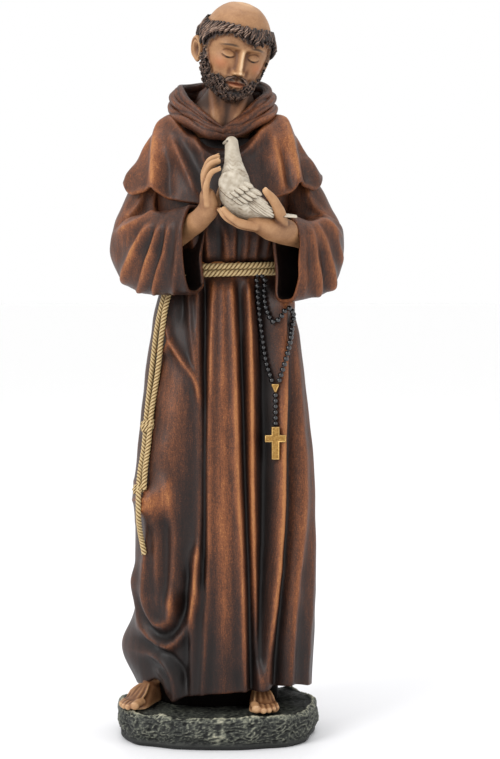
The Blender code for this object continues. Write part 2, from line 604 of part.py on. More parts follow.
def head_rings(rows, around):
    """The head from chin to crown: ovals with the face's forms, the beard and the cut fringe of hair pushed out."""
    angle = np.linspace(-math.pi, math.pi, around, endpoint=False)
    z = np.linspace(HEAD[0][0], HEAD[-1][0], rows)[:, None] * np.ones(around)
    half_width, front, back = np.moveaxis(keyed(HEAD, z), -1, 0)
    s, c = np.sin(angle)[None, :], np.cos(angle)[None, :]
    x = half_width * np.sign(s) * np.abs(s) ** 0.92
    y = np.where(c > 0, -front * np.abs(c) ** 0.92, back * np.abs(c) ** 0.92)
    push = np.zeros_like(x)
    for at, height, spread, tall, out in FACE_FORMS:
        push += out * np.exp(-(((np.abs(x) - at) / spread) ** 2) - ((z - height) / tall) ** 2)
    y = y - push * smooth_step(0.15, 0.6, c)
    away = np.degrees(np.abs(angle))[None, :]
    beard_top = keyed(((0, -21.8), (14, -21.0), (26, -14.5), (55, -12.0), (80, -4.0), (95, -4.0), (180, -40.0)), away)
    beard = smooth_step(1.0, -1.5, z - beard_top[..., 0]) * smooth_step(105, 90, away)
    moustache = np.exp(-(((np.abs(x) - 3.5) / 4.0) ** 2) - ((z + 15.0) / 1.4) ** 2) * (c > 0)
    hair_top = keyed(((0, 21.0), (90, 21.0), (180, 20.0)), away)[..., 0]
    hair_low = keyed(((0, 12.5), (45, 10.5), (72, 1.0), (86, -5.0), (100, -2.0), (125, -14.0), (180, -19.0)), away)
    hair = smooth_step(-1.0, 1.5, z - hair_low[..., 0]) * smooth_step(1.0, -1.5, z - hair_top)
    locks = 0.72 + 0.28 * np.cos(LOCKS * angle + 0.09 * z)
    out = BEARD_DEPTH * beard * locks + 2.0 * moustache + HAIR_DEPTH * hair * locks
    middle = np.stack([0 * x, 0 * y + 2.0, np.clip(z, -14, 12)], axis=-1)
    grid = np.stack([x, y, z], axis=-1)
    direction = grid - middle
    direction /= np.linalg.norm(direction, axis=-1, keepdims=True)
    return on_head(grid + direction * out[..., None])


def head_shapes():
    """The head and its two ears."""
    ears = [on_head(ball_rings((side * 20.0, 3.0, -5.0), (2.2, 4.6, 7.6), 12, 16)) for side in (-1, 1)]
    return [head_rings(90, 120), *ears]


def hand_shapes():
    """Forearms, palms, fingers and thumbs of both hands."""
    shapes = [limb_rings(points, radii, 12, 16) for points, radii in FOREARMS]
    for centre, half_sizes, degrees in PALMS:
        turn = Matrix.Rotation(math.radians(degrees), 3, "Y")
        shapes.append(ball_rings(centre, half_sizes, 14, 20, turn))
    for joints, knuckle, tip in FINGERS:
        shapes.append(limb_rings(joints, (knuckle, tip), 12, 10))
    return shapes


def wing_rings():
    """The near wing: a flat blade that tapers to its tip and stands out from the body."""
    points, half_width, stand_out = WING
    rings = limb_rings(points, (half_width, half_width * 0.9, half_width * 0.55, 1.6), 14, 16)
    centre = rings.mean(axis=1, keepdims=True)
    return centre + (rings - centre) * [1.0, stand_out / half_width, 1.0]


def dove_shapes():
    """Body from crown to tail, beak and near wing."""
    points = np.array([place for place, tall, thick in DOVE_BODY], float)
    tall = [row[1] for row in DOVE_BODY]
    thick = [row[2] for row in DOVE_BODY]
    body = limb_rings(points, tall, 26, 18)
    centre = body.mean(axis=1, keepdims=True)
    flat = np.interp(np.linspace(0, 1, len(body)), np.linspace(0, 1, len(tall)), np.divide(thick, tall))
    body = centre + (body - centre) * np.stack([np.ones(len(body)), flat, np.ones(len(body))], axis=1)[:, None, :]
    beak_points, root, tip = DOVE_BEAK
    return [body, limb_rings(beak_points, (root, tip), 6, 8), wing_rings()]


def foot_shapes(side):
    """One bare foot, sole down: ankle, instep and five toes fanned across the ball."""
    ankle, toes = (np.array(p, float) for p in FEET[side])
    forward = (toes - ankle) / np.linalg.norm(toes - ankle)
    across = np.array([-forward[1], forward[0]]) * -side
    heel = np.append(ankle - forward * 12.0, 5.0)
    shin = np.append(ankle - forward * 3.0, 26.0)
    instep = np.append(ankle + forward * 8.0, 7.0)
    ball = np.append(toes - forward * 5.0, 3.4)
    shapes = [
        limb_rings((shin, np.append(ankle, 12.0), instep), (8.5, 7.5, 6.5), 10, 14),
        limb_rings((heel, instep, ball), (6.5, 6.8, 4.2), 12, 14),
        limb_rings(
            (ball - np.append(across, 0) * (FOOT_WIDTH - 4.4), ball + np.append(across, 0) * (FOOT_WIDTH - 4.4)),
            (4.2, 3.6),
            8,
            12,
        ),
    ]
    for toe in range(5):
        share = toe / 4 * 2 - 1
        size = 3.1 - 0.32 * toe
        root = ball + np.append(across * share * -(FOOT_WIDTH - 2.6), 0)
        reach = 7.5 - 0.9 * toe
        tip = root + np.append(forward * reach, 0)
        root[2], tip[2] = size + 0.6, size * 0.9
        shapes.append(limb_rings((root, (root + tip) / 2 + [0, 0, 0.5], tip), (size, size * 0.9, size), 9, 10))
    return shapes


def surface_of(mesh, unit, soles):
    """A mesh as a surface to be met from the front, in figure units above its soles."""
    points = [(v.co - Vector((0, 0, soles))) / unit for v in mesh.vertices]
    return BVHTree.FromPolygons(points, [p.vertices for p in mesh.polygons])


def front_of(surface, x, z, spread, behind=None):
    """How far forward a round thing of radius spread can sit on a surface, looking back along the front view.

    The search starts in front of everything, or at the depth behind, which leaves out what hangs further forward.
    """
    begin = -200.0 if behind is None else behind
    reach = []
    for share in (0.0, 0.6, 1.0):
        for turn in np.linspace(0, 2 * math.pi, 8, endpoint=False):
            off = share * spread
            start = Vector((x + off * math.cos(turn), begin, z + off * math.sin(turn)))
            hit = surface.ray_cast(start, Vector((0, 1, 0)))[0]
            if hit is not None:
                reach.append(hit.y - spread * math.sqrt(1 - share**2))
    return min(reach) if reach else 0.0


def laid_line(surface, flat_line, count, radius, ease, behind=None):
    """A front-view line laid on a surface: a path in space that stands radius off it and evens out within ease."""
    line = smooth_line(flat_line, count)
    starts = [None if behind is None or z < behind[0] else behind[1] for x, z in line]
    depth = np.array([front_of(surface, x, z, radius, start) for (x, z), start in zip(line, starts)])
    step = np.linalg.norm(np.diff(line, axis=0), axis=1).mean()
    reach = max(1, int(round(ease / step)))
    padded = np.pad(depth, 2 * reach, mode="edge")
    low = np.array([padded[i : i + 2 * reach + 1].min() for i in range(len(depth) + 2 * reach)])
    even = np.array([low[i : i + 2 * reach + 1].mean() for i in range(len(depth))])
    return np.column_stack([line[:, 0], even, line[:, 1]])


def cord_shapes(surface):
    """Two turns of cord round the waist, the strands hanging at the side, and the knots."""
    waist, hanging = WAIST_CORD / 2, HANGING_CORD / 2
    angle = np.linspace(-math.pi, math.pi, 48, endpoint=False)
    shapes = []
    for turn in (0, 1):
        height = BELT - 2.3 + turn * 2 * waist * 1.08
        half_width, half_depth = keyed(SKIRT, [height])[0][1:3]
        x, y = oval(angle, half_width + waist * 0.9, half_depth + waist * 0.9)
        centre = np.column_stack([x + 3.0, y, height + 0.03 * x])
        out = np.column_stack([np.sin(angle), -np.cos(angle), np.zeros(48)])
        round_ = np.linspace(0, 2 * math.pi, 10, endpoint=False)
        ring = out[:, None, :] * np.cos(round_)[None, :, None]
        ring = ring + np.array([0, 0, 1.0]) * np.sin(round_)[None, :, None]
        shapes.append((centre[:, None, :] + ring * waist, True))
    for strand in CORD_STRANDS:
        path = laid_line(surface, strand, 60, hanging * 0.7, 5.0, CORD_UNDER_SLEEVE)
        shapes.append((limb_rings(path, (hanging, hanging), 60, 10), False))
    for (x, z), size in KNOTS:
        place = (x, front_of(surface, x, z, size * 0.5), z)
        shapes.append((ball_rings(place, (size, size * 0.8, size * 1.15), 10, 14), False))
    return shapes


def mesh_of(name, shapes):
    """One mesh of closed forms, each a stack of rings; a form whose last ring meets its first has no caps."""
    points, faces, first = [], [], 0
    for rings, looped in shapes:
        rows, around = rings.shape[:2]
        index = first + np.arange(rows * around).reshape(rows, around)
        below = np.roll(index, -1, axis=0) if looped else index[1:]
        above = index if looped else index[:-1]
        quads = np.stack([above, np.roll(above, -1, axis=1), np.roll(below, -1, axis=1), below], axis=-1)
        faces += quads.reshape(-1, 4).tolist()
        if not looped:
            faces += [index[0][::-1].tolist(), index[-1].tolist()]
        points.append(rings.reshape(-1, 3))
        first += rows * around
    points = np.concatenate(points) * DRAWN_UNIT + [0, 0, DRAWN_SOLES]
    mesh = bpy.data.meshes.new(name)
    mesh.from_pydata(points.tolist(), [], faces)
    mesh.validate()
    return mesh


def make_object(name, mesh, material):
    made = bpy.data.objects.new(name, mesh)
    bpy.context.scene.collection.objects.link(made)
    made.data.materials.append(material)
    return made


def painted(name, colour, roughness, metallic=0.0):
    """A painted or metal finish from its sRGB colour."""
    material = bpy.data.materials.new(name)
    material.use_nodes = True
    shader = material.node_tree.nodes["Principled BSDF"]
    linear = [((c / 255 + 0.055) / 1.055) ** 2.4 if c > 10 else c / 255 / 12.92 for c in colour]
    shader.inputs["Base Color"].default_value = (*linear, 1.0)
    shader.inputs["Roughness"].default_value = roughness
    shader.inputs["Metallic"].default_value = metallic
    return material


def evaluated_mesh(made):
    """A copy of the object's mesh with its modifiers carried out."""
    graph = bpy.context.evaluated_depsgraph_get()
    return bpy.data.meshes.new_from_object(made.evaluated_get(graph))


def merge_forms(made, grain, triangles):
    """Joins overlapping forms into one skin of the given grain, then thins it, the plain cloth most of all."""
    made.modifiers.new("one skin", "REMESH").voxel_size = grain * DRAWN_UNIT
    made.data = evaluated_mesh(made)
    made.modifiers.clear()
    plain = made.vertex_groups.new(name="plain cloth")
    points = np.array([v.co[:] for v in made.data.vertices])
    z = (points[:, 2] - DRAWN_SOLES) / DRAWN_UNIT
    y = points[:, 1] / DRAWN_UNIT
    fine = (z > FINE_ABOVE) | (y < FINE_BEFORE) | (z < FINE_BELOW)
    plain.add(np.flatnonzero(~fine).tolist(), 1.0, "REPLACE")
    plain.add(np.flatnonzero(fine).tolist(), PLAIN_SHARE, "REPLACE")
    faces = sum(len(p.vertices) - 2 for p in made.data.polygons)
    thin = made.modifiers.new("thin", "DECIMATE")
    thin.ratio = triangles / faces
    thin.vertex_group = plain.name
    made.data = evaluated_mesh(made)
    made.modifiers.clear()
    made.vertex_groups.clear()


def build_figure(material):
    """The whole casting as one solid, cut flat at the soles and set on the base at its real size."""
    cloth = [
        (skirt_rings(90, 150), False),
        (torso_rings(30, 110), False),
        (cape_rings(34, 150), False),
        (hood_rings(96, 28), True),
        (stacked_ovals([(z, HOOD_CENTRE, y, w, d) for z, w, d, y in HOOD_BAG], 20, 32), False),
        (stacked_ovals(NECK, 12, 28), False),
    ]
    cloth += [(sleeve_rings(keys, 60, 56), False) for keys in SLEEVES.values()]
    body = mesh_of("cloth", cloth)
    surface = surface_of(body, DRAWN_UNIT, DRAWN_SOLES)
    bpy.data.meshes.remove(body)
    flesh = [(s, False) for s in [*head_shapes(), *hand_shapes(), *dove_shapes(), *foot_shapes(-1), *foot_shapes(1)]]
    figure = make_object("statue_figure", mesh_of("statue_figure", cloth + flesh + cord_shapes(surface)), material)
    merge_forms(figure, CASTING_GRAIN, FIGURE_TRIANGLES)
    cutter = box_cutter("below_soles", CUTTER_SIDE, DRAWN_SOLES)
    flat = figure.modifiers.new("flat soles", "BOOLEAN")
    flat.object, flat.operation = cutter, "DIFFERENCE"
    figure.data = evaluated_mesh(figure)
    figure.modifiers.clear()
    bpy.data.objects.remove(cutter)
    real_size = Matrix.Scale(UNIT / DRAWN_UNIT, 4) @ Matrix.Translation((0, 0, -DRAWN_SOLES))
    figure.data.transform(Matrix.Translation((0, 0, SOLE_HEIGHT)) @ real_size)
    figure.data.set_sharp_from_angle(angle=math.radians(50))
    return figure


def box_cutter(name, side, top):
    """A block that reaches from far below up to the given height."""
    low, high, half = top - side, top, side / 2
    corners = [(x, y, z) for z in (low, high) for x, y in ((-half, -half), (half, -half), (half, half), (-half, half))]
    faces = [(3, 2, 1, 0), (4, 5, 6, 7), (0, 1, 5, 4), (1, 2, 6, 5), (2, 3, 7, 6), (3, 0, 4, 7)]
    mesh = bpy.data.meshes.new(name)
    mesh.from_pydata(corners, [], faces)
    cutter = bpy.data.objects.new(name, mesh)
    bpy.context.scene.collection.objects.link(cutter)
    cutter.hide_render, cutter.display_type = True, "WIRE"
    return cutter


def rock_edge(angle):
    """How the rock's outline swells and shrinks round its oval."""
    return 1 + 0.018 * np.sin(3 * angle + 0.6) + 0.014 * np.sin(7 * angle + 2.0) + 0.008 * np.sin(13 * angle)


def build_base(material):
    """The rock: a rounded slab with a broken wall, undercut to its flat underside, and a flat seat on top."""
    around = 56
    angle = np.linspace(-math.pi, math.pi, around, endpoint=False)
    swell = rock_edge(angle)
    levels = (
        (0.00, BASE_UNDERCUT),
        (0.16, BASE_UNDERCUT * 0.35),
        (0.48, 0.0),
        (0.80, BASE_UNDERCUT * 0.25),
        (0.96, BASE_UNDERCUT * 0.80),
        (1.00, BASE_UNDERCUT * 1.9),
    )
    rings = []
    for row, (height, inset) in enumerate(levels):
        x, y = oval(angle, BASE_WIDTH / 2 - inset, BASE_DEPTH / 2 - inset, 2.7)
        broken = ROCK_BREAK * np.sin(11 * angle + 1.7 * row) * (0 < row < len(levels) - 1)
        scale = swell + broken / (BASE_DEPTH / 2)
        rings.append(np.column_stack([x * scale, y * scale - BASE_AHEAD, np.full(around, height * BASE_HEIGHT)]))
    points = np.concatenate(rings)
    index = np.arange(len(points)).reshape(len(rings), around)
    quads = np.stack(
        [index[:-1], np.roll(index[:-1], -1, axis=1), np.roll(index[1:], -1, axis=1), index[1:]], axis=-1
    )
    faces = [*quads.reshape(-1, 4).tolist(), index[0][::-1].tolist(), index[-1].tolist()]
    mesh = bpy.data.meshes.new("rock_base")
    mesh.from_pydata(points.tolist(), [], faces)
    mesh.set_sharp_from_angle(angle=math.radians(40))
    return make_object("rock_base", mesh, material)


def bead_string(name, path, material):
    """Beads threaded close along a path, as one turned tube that swells at each bead and narrows to the wire."""
    steps = np.linalg.norm(np.diff(path, axis=0), axis=1)
    along = np.concatenate([[0], np.cumsum(steps)])
    beads = max(2, round(along[-1] / BEAD_PITCH))
    pitch = along[-1] / beads
    stations, radii = [0.0], [BEAD_WIRE / 2]
    for bead in range(beads):
        stations += [(bead + 0.5) * pitch, (bead + 1.0) * pitch]
        radii += [BEAD_DIAMETER / 2, BEAD_WIRE / 2]
    stations, radii = np.array(stations), np.array(radii)
    centre = np.column_stack([np.interp(stations, along, path[:, k]) for k in range(3)])
    tangent = np.gradient(centre, axis=0)
    tangent /= np.linalg.norm(tangent, axis=1, keepdims=True)
    across = np.cross(tangent, [0.0, 1.0, 0.0])
    across /= np.linalg.norm(across, axis=1, keepdims=True)
    over = np.cross(across, tangent)
    sides = 6
    turn = np.linspace(0, 2 * math.pi, sides, endpoint=False)
    ring = across[:, None, :] * np.cos(turn)[None, :, None] + over[:, None, :] * np.sin(turn)[None, :, None]
    rings = centre[:, None, :] + ring * radii[:, None, None]
    index = np.arange(rings.shape[0] * sides).reshape(-1, sides)
    quads = np.stack(
        [index[:-1], np.roll(index[:-1], -1, axis=1), np.roll(index[1:], -1, axis=1), index[1:]], axis=-1
    )
    faces = [*quads.reshape(-1, 4)[:, ::-1].tolist(), index[0].tolist(), index[-1][::-1].tolist()]
    mesh = bpy.data.meshes.new(name)
    mesh.from_pydata(rings.reshape(-1, 3).tolist(), [], faces)
    return make_object(name, mesh, material)


def on_front(surface, flat_line, count):
    """A front-view line of the figure as a path in metres, the bead's radius and its clearance off the casting."""
    off = (BEAD_DIAMETER / 2 + BEAD_CLEARANCE) / UNIT
    path = laid_line(surface, flat_line, count, off, 2.6, BEADS_UNDER_SLEEVE)
    return path * UNIT + [0, 0, SOLE_HEIGHT]


def flat_plate(name, outline, thickness, place, material):
    """A plate standing upright: an outline in x and z, thickened towards the front, with softened edges."""
    count = len(outline)
    half = thickness / 2
    points = [(x, y, z) for y in (-half, half) for x, z in outline]
    faces = [tuple(range(count)), tuple(range(2 * count - 1, count - 1, -1))]
    faces += [(i, i + count, (i + 1) % count + count, (i + 1) % count) for i in range(count)]
    mesh = bpy.data.meshes.new(name)
    mesh.from_pydata(points, [], faces)
    plate = make_object(name, mesh, material)
    plate.location = place
    edge = plate.modifiers.new("worn edge", "BEVEL")
    edge.width, edge.segments = thickness * 0.16, 1
    return plate


def cross_outline():
    """The cross seen from the front, its arms set at a third of its height from the top."""
    bar, half, top, bottom = CROSS_BAR / 2, CROSS_WIDTH / 2, CROSS_HEIGHT / 2, -CROSS_HEIGHT / 2
    arm = top - CROSS_HEIGHT * 0.36
    return [
        (-bar, bottom),
        (bar, bottom),
        (bar, arm - bar * 0.9),
        (half, arm - bar * 0.9),
        (half, arm + bar * 0.9),
        (bar, arm + bar * 0.9),
        (bar, top),
        (-bar, top),
        (-bar, arm + bar * 0.9),
        (-half, arm + bar * 0.9),
        (-half, arm - bar * 0.9),
        (-bar, arm - bar * 0.9),
    ]


def medal_outline():
    """The centre medal: a triangle, point down, with blunt corners."""
    half, top, bottom = MEDAL_WIDTH / 2, MEDAL_HEIGHT / 2, -MEDAL_HEIGHT / 2
    blunt = MEDAL_WIDTH * 0.12
    right = [(blunt, bottom), (half, top - 2 * blunt), (half, top)]
    return [(-blunt, bottom), *right, (-half, top), (-half, top - 2 * blunt)]


def plate_place(surface, x, z, half_width, half_height, thickness):
    """Where a plate hangs: its back just clear of the furthest forward point of the casting behind it."""
    heights = np.linspace(z - half_height, z + half_height, 7)
    reach = min(front_of(surface, x + side * half_width, height, 0.1) for height in heights for side in (-1, 0, 1))
    clear = BEAD_CLEARANCE + thickness / 2
    return (x * UNIT, reach * UNIT - clear, SOLE_HEIGHT + z * UNIT)


def build_rosary(figure, bead_material, metal_material):
    """Bead loop over the belt, centre medal, bead drop and cross, hung in front of the casting."""
    surface = surface_of(figure.data, UNIT, SOLE_HEIGHT)
    medal_x, medal_z = MEDAL_PLACE
    half_medal = MEDAL_HEIGHT / 2 / UNIT
    place = plate_place(surface, medal_x, medal_z, MEDAL_WIDTH / 2 / UNIT, half_medal, MEDAL_THICKNESS)
    flat_plate("rosary_medal", medal_outline(), MEDAL_THICKNESS, place, metal_material)
    bead_string("rosary_loop", on_front(surface, ROSARY_LOOP, 180), bead_material)
    half_cross = CROSS_HEIGHT / 2 / UNIT
    place = plate_place(surface, medal_x, CROSS_PLACE, CROSS_WIDTH / 2 / UNIT, half_cross, CROSS_THICKNESS)
    flat_plate("rosary_cross", cross_outline(), CROSS_THICKNESS, place, metal_material)
    gap = PIECE_GAP / UNIT
    drop = ((medal_x, medal_z - half_medal - gap), (medal_x, CROSS_PLACE + half_cross + gap))
    bead_string("rosary_drop", on_front(surface, drop, 24), bead_material)


def main():
    for old in list(bpy.data.objects):
        bpy.data.objects.remove(old)
    brown = painted("painted_resin_brown", (104, 62, 34), 0.5)
    rock = painted("painted_resin_rock", (84, 88, 78), 0.75)
    black = painted("black_beads", (20, 20, 22), 0.25)
    bronze = painted("antique_bronze", (150, 108, 60), 0.4, 0.7)
    figure = build_figure(brown)
    build_base(rock)
    build_rosary(figure, black, bronze)


main()
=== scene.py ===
"""Looks of a hand-painted cast resin statue: a barefoot friar in a hooded habit with a dove, on a rock base.

Shapes are worked out in figure units: the figure is 440 of them from the soles to the crown, so one is one
millimetre. In the front view a point of the figure is (x, z), with z counted from the soles.
"""

import math

import bmesh
import bpy
import numpy as np
from mathutils import Euler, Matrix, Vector
from mathutils.bvhtree import BVHTree
from mathutils.noise import ridged_multi_fractal, seed_set, turbulence_vector, voronoi


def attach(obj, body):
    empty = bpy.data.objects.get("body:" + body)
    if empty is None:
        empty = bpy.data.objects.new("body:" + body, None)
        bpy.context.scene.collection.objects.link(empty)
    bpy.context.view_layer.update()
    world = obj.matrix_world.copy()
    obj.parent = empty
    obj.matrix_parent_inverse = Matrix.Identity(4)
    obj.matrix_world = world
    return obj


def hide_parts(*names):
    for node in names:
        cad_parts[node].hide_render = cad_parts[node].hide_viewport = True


# Metres in one figure unit, and the height of the soles above the floor in metres
UNIT = 0.001
SOLE_HEIGHT = 0.020
# Every seeded unevenness draws from this number or one just above it
SEED = 7

SKIRT_TOP = 276.0
# Skirt sections: height, centre x, half width, half depth, centre y
SKIRT = (
    (0, 5.0, 54.5, 40.5, 1.5),
    (40, 5.5, 55.5, 40.0, 1.5),
    (76, 4.7, 56.8, 39.0, 1.0),
    (126, 4.0, 55.6, 38.0, 1.0),
    (177, 3.5, 52.0, 36.0, 1.0),
    (227, 3.2, 46.0, 32.0, 0.0),
    (254, 3.5, 41.0, 28.5, 0.0),
    (270, 3.2, 35.0, 24.5, 0.0),
    (280, 3.0, 34.0, 24.0, 0.0),
)
# Height of the skirt's hem by angle from the front, in degrees, positive towards +X
HEM = (
    (-180, 4.0), (-135, 4.5), (-105, 8.0), (-78, 11.0), (-60, 16.5), (-47, 14.0), (-36, 6.0),
    (-24, 9.5), (-5, 12.0), (25, 14.0), (42, 15.5), (62, 13.0), (90, 9.5), (135, 5.0), (180, 4.0),
)
# Folds of the skirt's front: height, half width, and the line that each follows in the front view
SKIRT_FOLDS = (
    (2.4, 8.0,
     ((2.5, 290), (2.5, 250), (3.0, 200), (3.0, 130), (3.6, 60), (3.8, -10))),
    (3.0, 2.5,
     ((-2.0, 288), (-2.4, 262), (-4.3, 220), (-6.1, 149), (-6.1, 86), (-7.9, 39), (-10.5, -8))),
    (3.4, 2.7,
     ((8.0, 288), (8.3, 262), (10.1, 220), (11.9, 149), (14.4, 97), (16.1, 50), (17.2, -8))),
    (3.4, 2.4,
     ((17.2, 288), (18.3, 262), (20.1, 220), (20.7, 149), (21.9, 97), (23.5, 60), (25, -4))),
    (5.4, 3.9,
     ((36, 262), (40.2, 226), (40.8, 203), (39, 167), (37.8, 109), (35.3, 74), (30.5, 39), (27.0, -6))),
    (5.0, 3.9,
     ((41.0, 262), (45.0, 226), (49.0, 176), (51.0, 149), (50.2, 109), (47.8, 86), (44.5, 50), (42, -4))),
    (2.6, 2.5, ((-12.6, 280), (-11.3, 220), (-10, 193), (-9.7, 158), (-11.4, 97), (-13, 60))),
    (2.2, 2.2, ((-18, 276), (-16.6, 240), (-12.4, 203))),
    (3.4, 2.4, ((-28.6, 280), (-27.4, 226), (-21.3, 215.5), (-13.1, 203), (-10.6, 184))),
    (2.6, 2.0, ((-27.4, 229), (-32.3, 221), (-40, 222))),
    (1.4, 2.0, ((3.0, 286), (3.2, 240), (3.0, 190))),
    (1.4, 1.8, ((13.2, 286), (13.8, 250), (14.8, 222))),
    (-4.6, 2.6, ((12.6, 280), (15.4, 200), (16.8, 149), (18.6, 97), (20.0, 40), (20.8, -6))),
    (-4.4, 2.2, ((-8.0, 282), (-8.2, 220), (-8.2, 150), (-9.4, 90), (-11, 70))),
    (-6.4, 5.0, ((27, 280), (29, 220), (29.6, 150), (28.6, 100), (26.5, 60), (24.5, 20))),
    (-5.0, 3.0, ((41.6, 252), (44.4, 180), (44.6, 130), (42, 90), (38, 50), (35, -4))),
    (-3.4, 3.4, ((-20, 76), (-19, 40), (-18.4, -4))),
    (-2.2, 3.4, ((-22, 272), (-22.4, 232))),
    (3.6, 3.4, ((-12.6, 104), (-15.0, 60), (-16.5, 30), (-17, -6))),
    (1.6, 2.0, ((-33, 132), (-41, 137), (-52, 140))),
    (1.8, 2.0, ((-33, 131), (-42, 130), (-52, 126))),
    (1.8, 2.2, ((-34, 129), (-43, 120), (-52, 110))),
    (3.2, 3.2,
     ((-37.0, 136), (-41.2, 103), (-43.8, 74), (-42.6, 58), (-37.5, 50.6), (-31.5, 54), (-27.2, 80))),
    (2.6, 3.6, ((-31.5, 54), (-27.4, 80), (-25.6, 112), (-28.5, 150))),
    (1.6, 2.6, ((-34.5, 140), (-35.6, 104), (-36.6, 72))),
    (-1.6, 2.6, ((-38.6, 124), (-40.0, 90), (-39.4, 60))),
    (-1.8, 3.2, ((-31.0, 126), (-31.6, 90), (-32.4, 58))),
    (4.2, 3.4,
     ((-52.5, 90), (-49.9, 60), (-44.5, 44), (-36.5, 37.7), (-25, 43), (-15.4, 64), (-11.4, 110))),
    (-3.2, 2.8, ((-49, 76), (-46, 54), (-38, 44.4), (-29, 47), (-21, 66), (-17.5, 96))),
    (3.4, 2.8, ((-54, 30), (-45, 31.8), (-36, 29.5), (-29.2, 22), (-27.2, -8))),
    (2.4, 2.4, ((-46, 22), (-38, 22), (-32.5, 16), (-31, 4))),
    (3.0, 3.2, ((49, 244), (55.5, 180), (57.5, 120), (57.0, 70), (54.5, 30), (53, -4))),
    (-2.8, 2.6, ((-54, 42), (-42, 37.8), (-32, 35), (-23, 26), (-21, 8))),
)
# The bent leg under the cloth
HIP, KNEE = (-22.0, 222.0), (-36.5, 131.0)
HIP_PUSH, KNEE_PUSH, LEG_WIDTH = 2.0, 8.5, 14.0
SHIN_FOOT, SHIN_PUSH, SHIN_WIDTH = (-40.0, 70.0), 3.0, 9.0
# The cloth thrown out behind the left ankle, and where it tucks in above the foot
FLARE_ANGLE, FLARE_HEIGHT, FLARE_REACH = -105.0, 31.0, 12.5
FLARE_ARC, FLARE_TALL = 24.0, 19.0
ANKLE_ANGLE, ANKLE_ARC, ANKLE_TUCK = -62.0, 20.0, 5.0
BACK_PLEATS = 9
# Thickness of the cloth at its free edges
CLOTH_WALL = 2.4
# The closed core inside the hem: half width, half depth, how far it lies back, and its top
CORE_WIDTH, CORE_DEPTH, CORE_BACK, CORE_TOP = 38.0, 25.0, 2.0, 26.0
# A fold rises from nothing over this length at each of its ends
FOLD_END = 14.0
# Rows and points round each cloth surface
SKIRT_ROWS, SKIRT_AROUND = 196, 310
BODICE_ROWS, BODICE_AROUND = 80, 220
SLEEVE_ROWS, SLEEVE_AROUND = 130, 170
CAPE_ROWS, CAPE_AROUND = 92, 300
HOOD_ROWS, HOOD_AROUND = 204, 54
BAG_ROWS, BAG_AROUND = 70, 120

# Bodice sections: height, half width, half depth
TORSO = (
    (256, 32.0, 22.0),
    (268, 33.0, 23.5),
    (275, 33.5, 24.0),
    (280, 37.0, 27.5),
    (287, 40.0, 30.5),
    (300, 40.5, 30.5),
    (335, 41.5, 26.5),
    (352, 33.0, 20.0),
)
# Bodice pleats gathered by the waist cord: height, half width, line in the front view
TORSO_FOLDS = (
    (1.8, 2.6, ((-20, 344), (-17, 310), (-13, 268))),
    (2.0, 2.4, ((-3.4, 340), (-1.0, 305), (5.2, 288), (4.6, 268))),
    (1.8, 2.2, ((10, 312), (10.4, 292), (9.4, 268))),
    (1.7, 2.2, ((-9, 320), (-7, 292), (-4.8, 268))),
    (1.8, 2.3, ((18, 316), (17.5, 290), (15.0, 268))),
    (1.8, 2.3, ((25, 320), (24, 290), (21.0, 268))),
    (1.8, 2.3, ((33, 320), (31, 290), (27.4, 268))),
    (-1.6, 1.8, ((1.2, 308), (0.8, 268))),
    (-1.6, 1.8, ((12.9, 308), (12.4, 268))),
    (-1.6, 1.8, ((-10.4, 308), (-9.0, 268))),
)

# Cape from the neck (0) to the hem (1): half width, half depth, then the height at side, front and back
CAPE = (
    (0.00, 17.0, 15.0, 364.0, 341.0, 366.0),
    (0.20, 31.5, 25.0, 368.0, 345.0, 367.0),
    (0.42, 43.5, 30.5, 356.5, 338.0, 352.0),
    (0.70, 53.5, 34.5, 340.0, 325.0, 334.0),
    (1.00, 62.0, 38.0, 325.0, 311.0, 318.0),
)
CAPE_CENTRE = 3.5
# Rise of the cape's hem by angle from the front, in degrees
CAPE_HEM = (
    (-180, 0.0), (-120, 1.0), (-92, 2.0), (-70, -3.5), (-47, 4.5), (-28, 1.0), (0, 0.0), (25, 1.5),
    (38, 3.0), (50, 7.5), (68, -0.5), (88, 5.0), (125, 1.0), (180, 0.0),
)
# Folds of the cape: height, half width, line in the front view
CAPE_FOLDS = (
    (3.6, 3.6, ((-33, 374), (-38.5, 345), (-39.0, 308))),
    (3.0, 3.2, ((-31.5, 360), (-25, 344), (-19.5, 332), (-10, 310))),
    (2.4, 3.0, ((-17.4, 356), (-11.5, 344), (-5.4, 330))),
    (2.6, 2.8, ((-33, 370), (-18, 350), (-7, 341), (5, 336.5), (16, 341), (25, 350), (36, 366))),
    (2.4, 2.8, ((31.5, 362), (24, 349), (12, 335))),
    (4.2, 3.8, ((37, 376), (44, 350), (50.5, 316))),
    (2.8, 3.0, ((32, 362), (36, 340), (41.5, 312))),
    (2.6, 3.0, ((55, 350), (63, 318))),
    (2.4, 3.0, ((-50, 356), (-58, 318))),
    (-2.8, 4.2, ((-44, 362), (-47.5, 312))),
    (-2.4, 3.8, ((-31.5, 348), (-29, 306))),
    (-3.2, 4.0, ((52, 362), (56.5, 315))),
    (-2.4, 3.8, ((40, 352), (45.5, 314))),
    (-1.8, 5.0, ((26, 345), (29, 306))),
    (-1.4, 4.0, ((-22, 346), (-14, 334), (-6, 312))),
)

# Share of each piece's surface, in percent, that lies in the dark half of the paint, where it isn't half
DARK_SHARES = {
    "habit_hood": 30,
    "habit_sleeve_right_hand": 36,
    "habit_sleeve_left_hand": 32,
    "habit_cape": 42,
    "habit_skirt": 47,
}
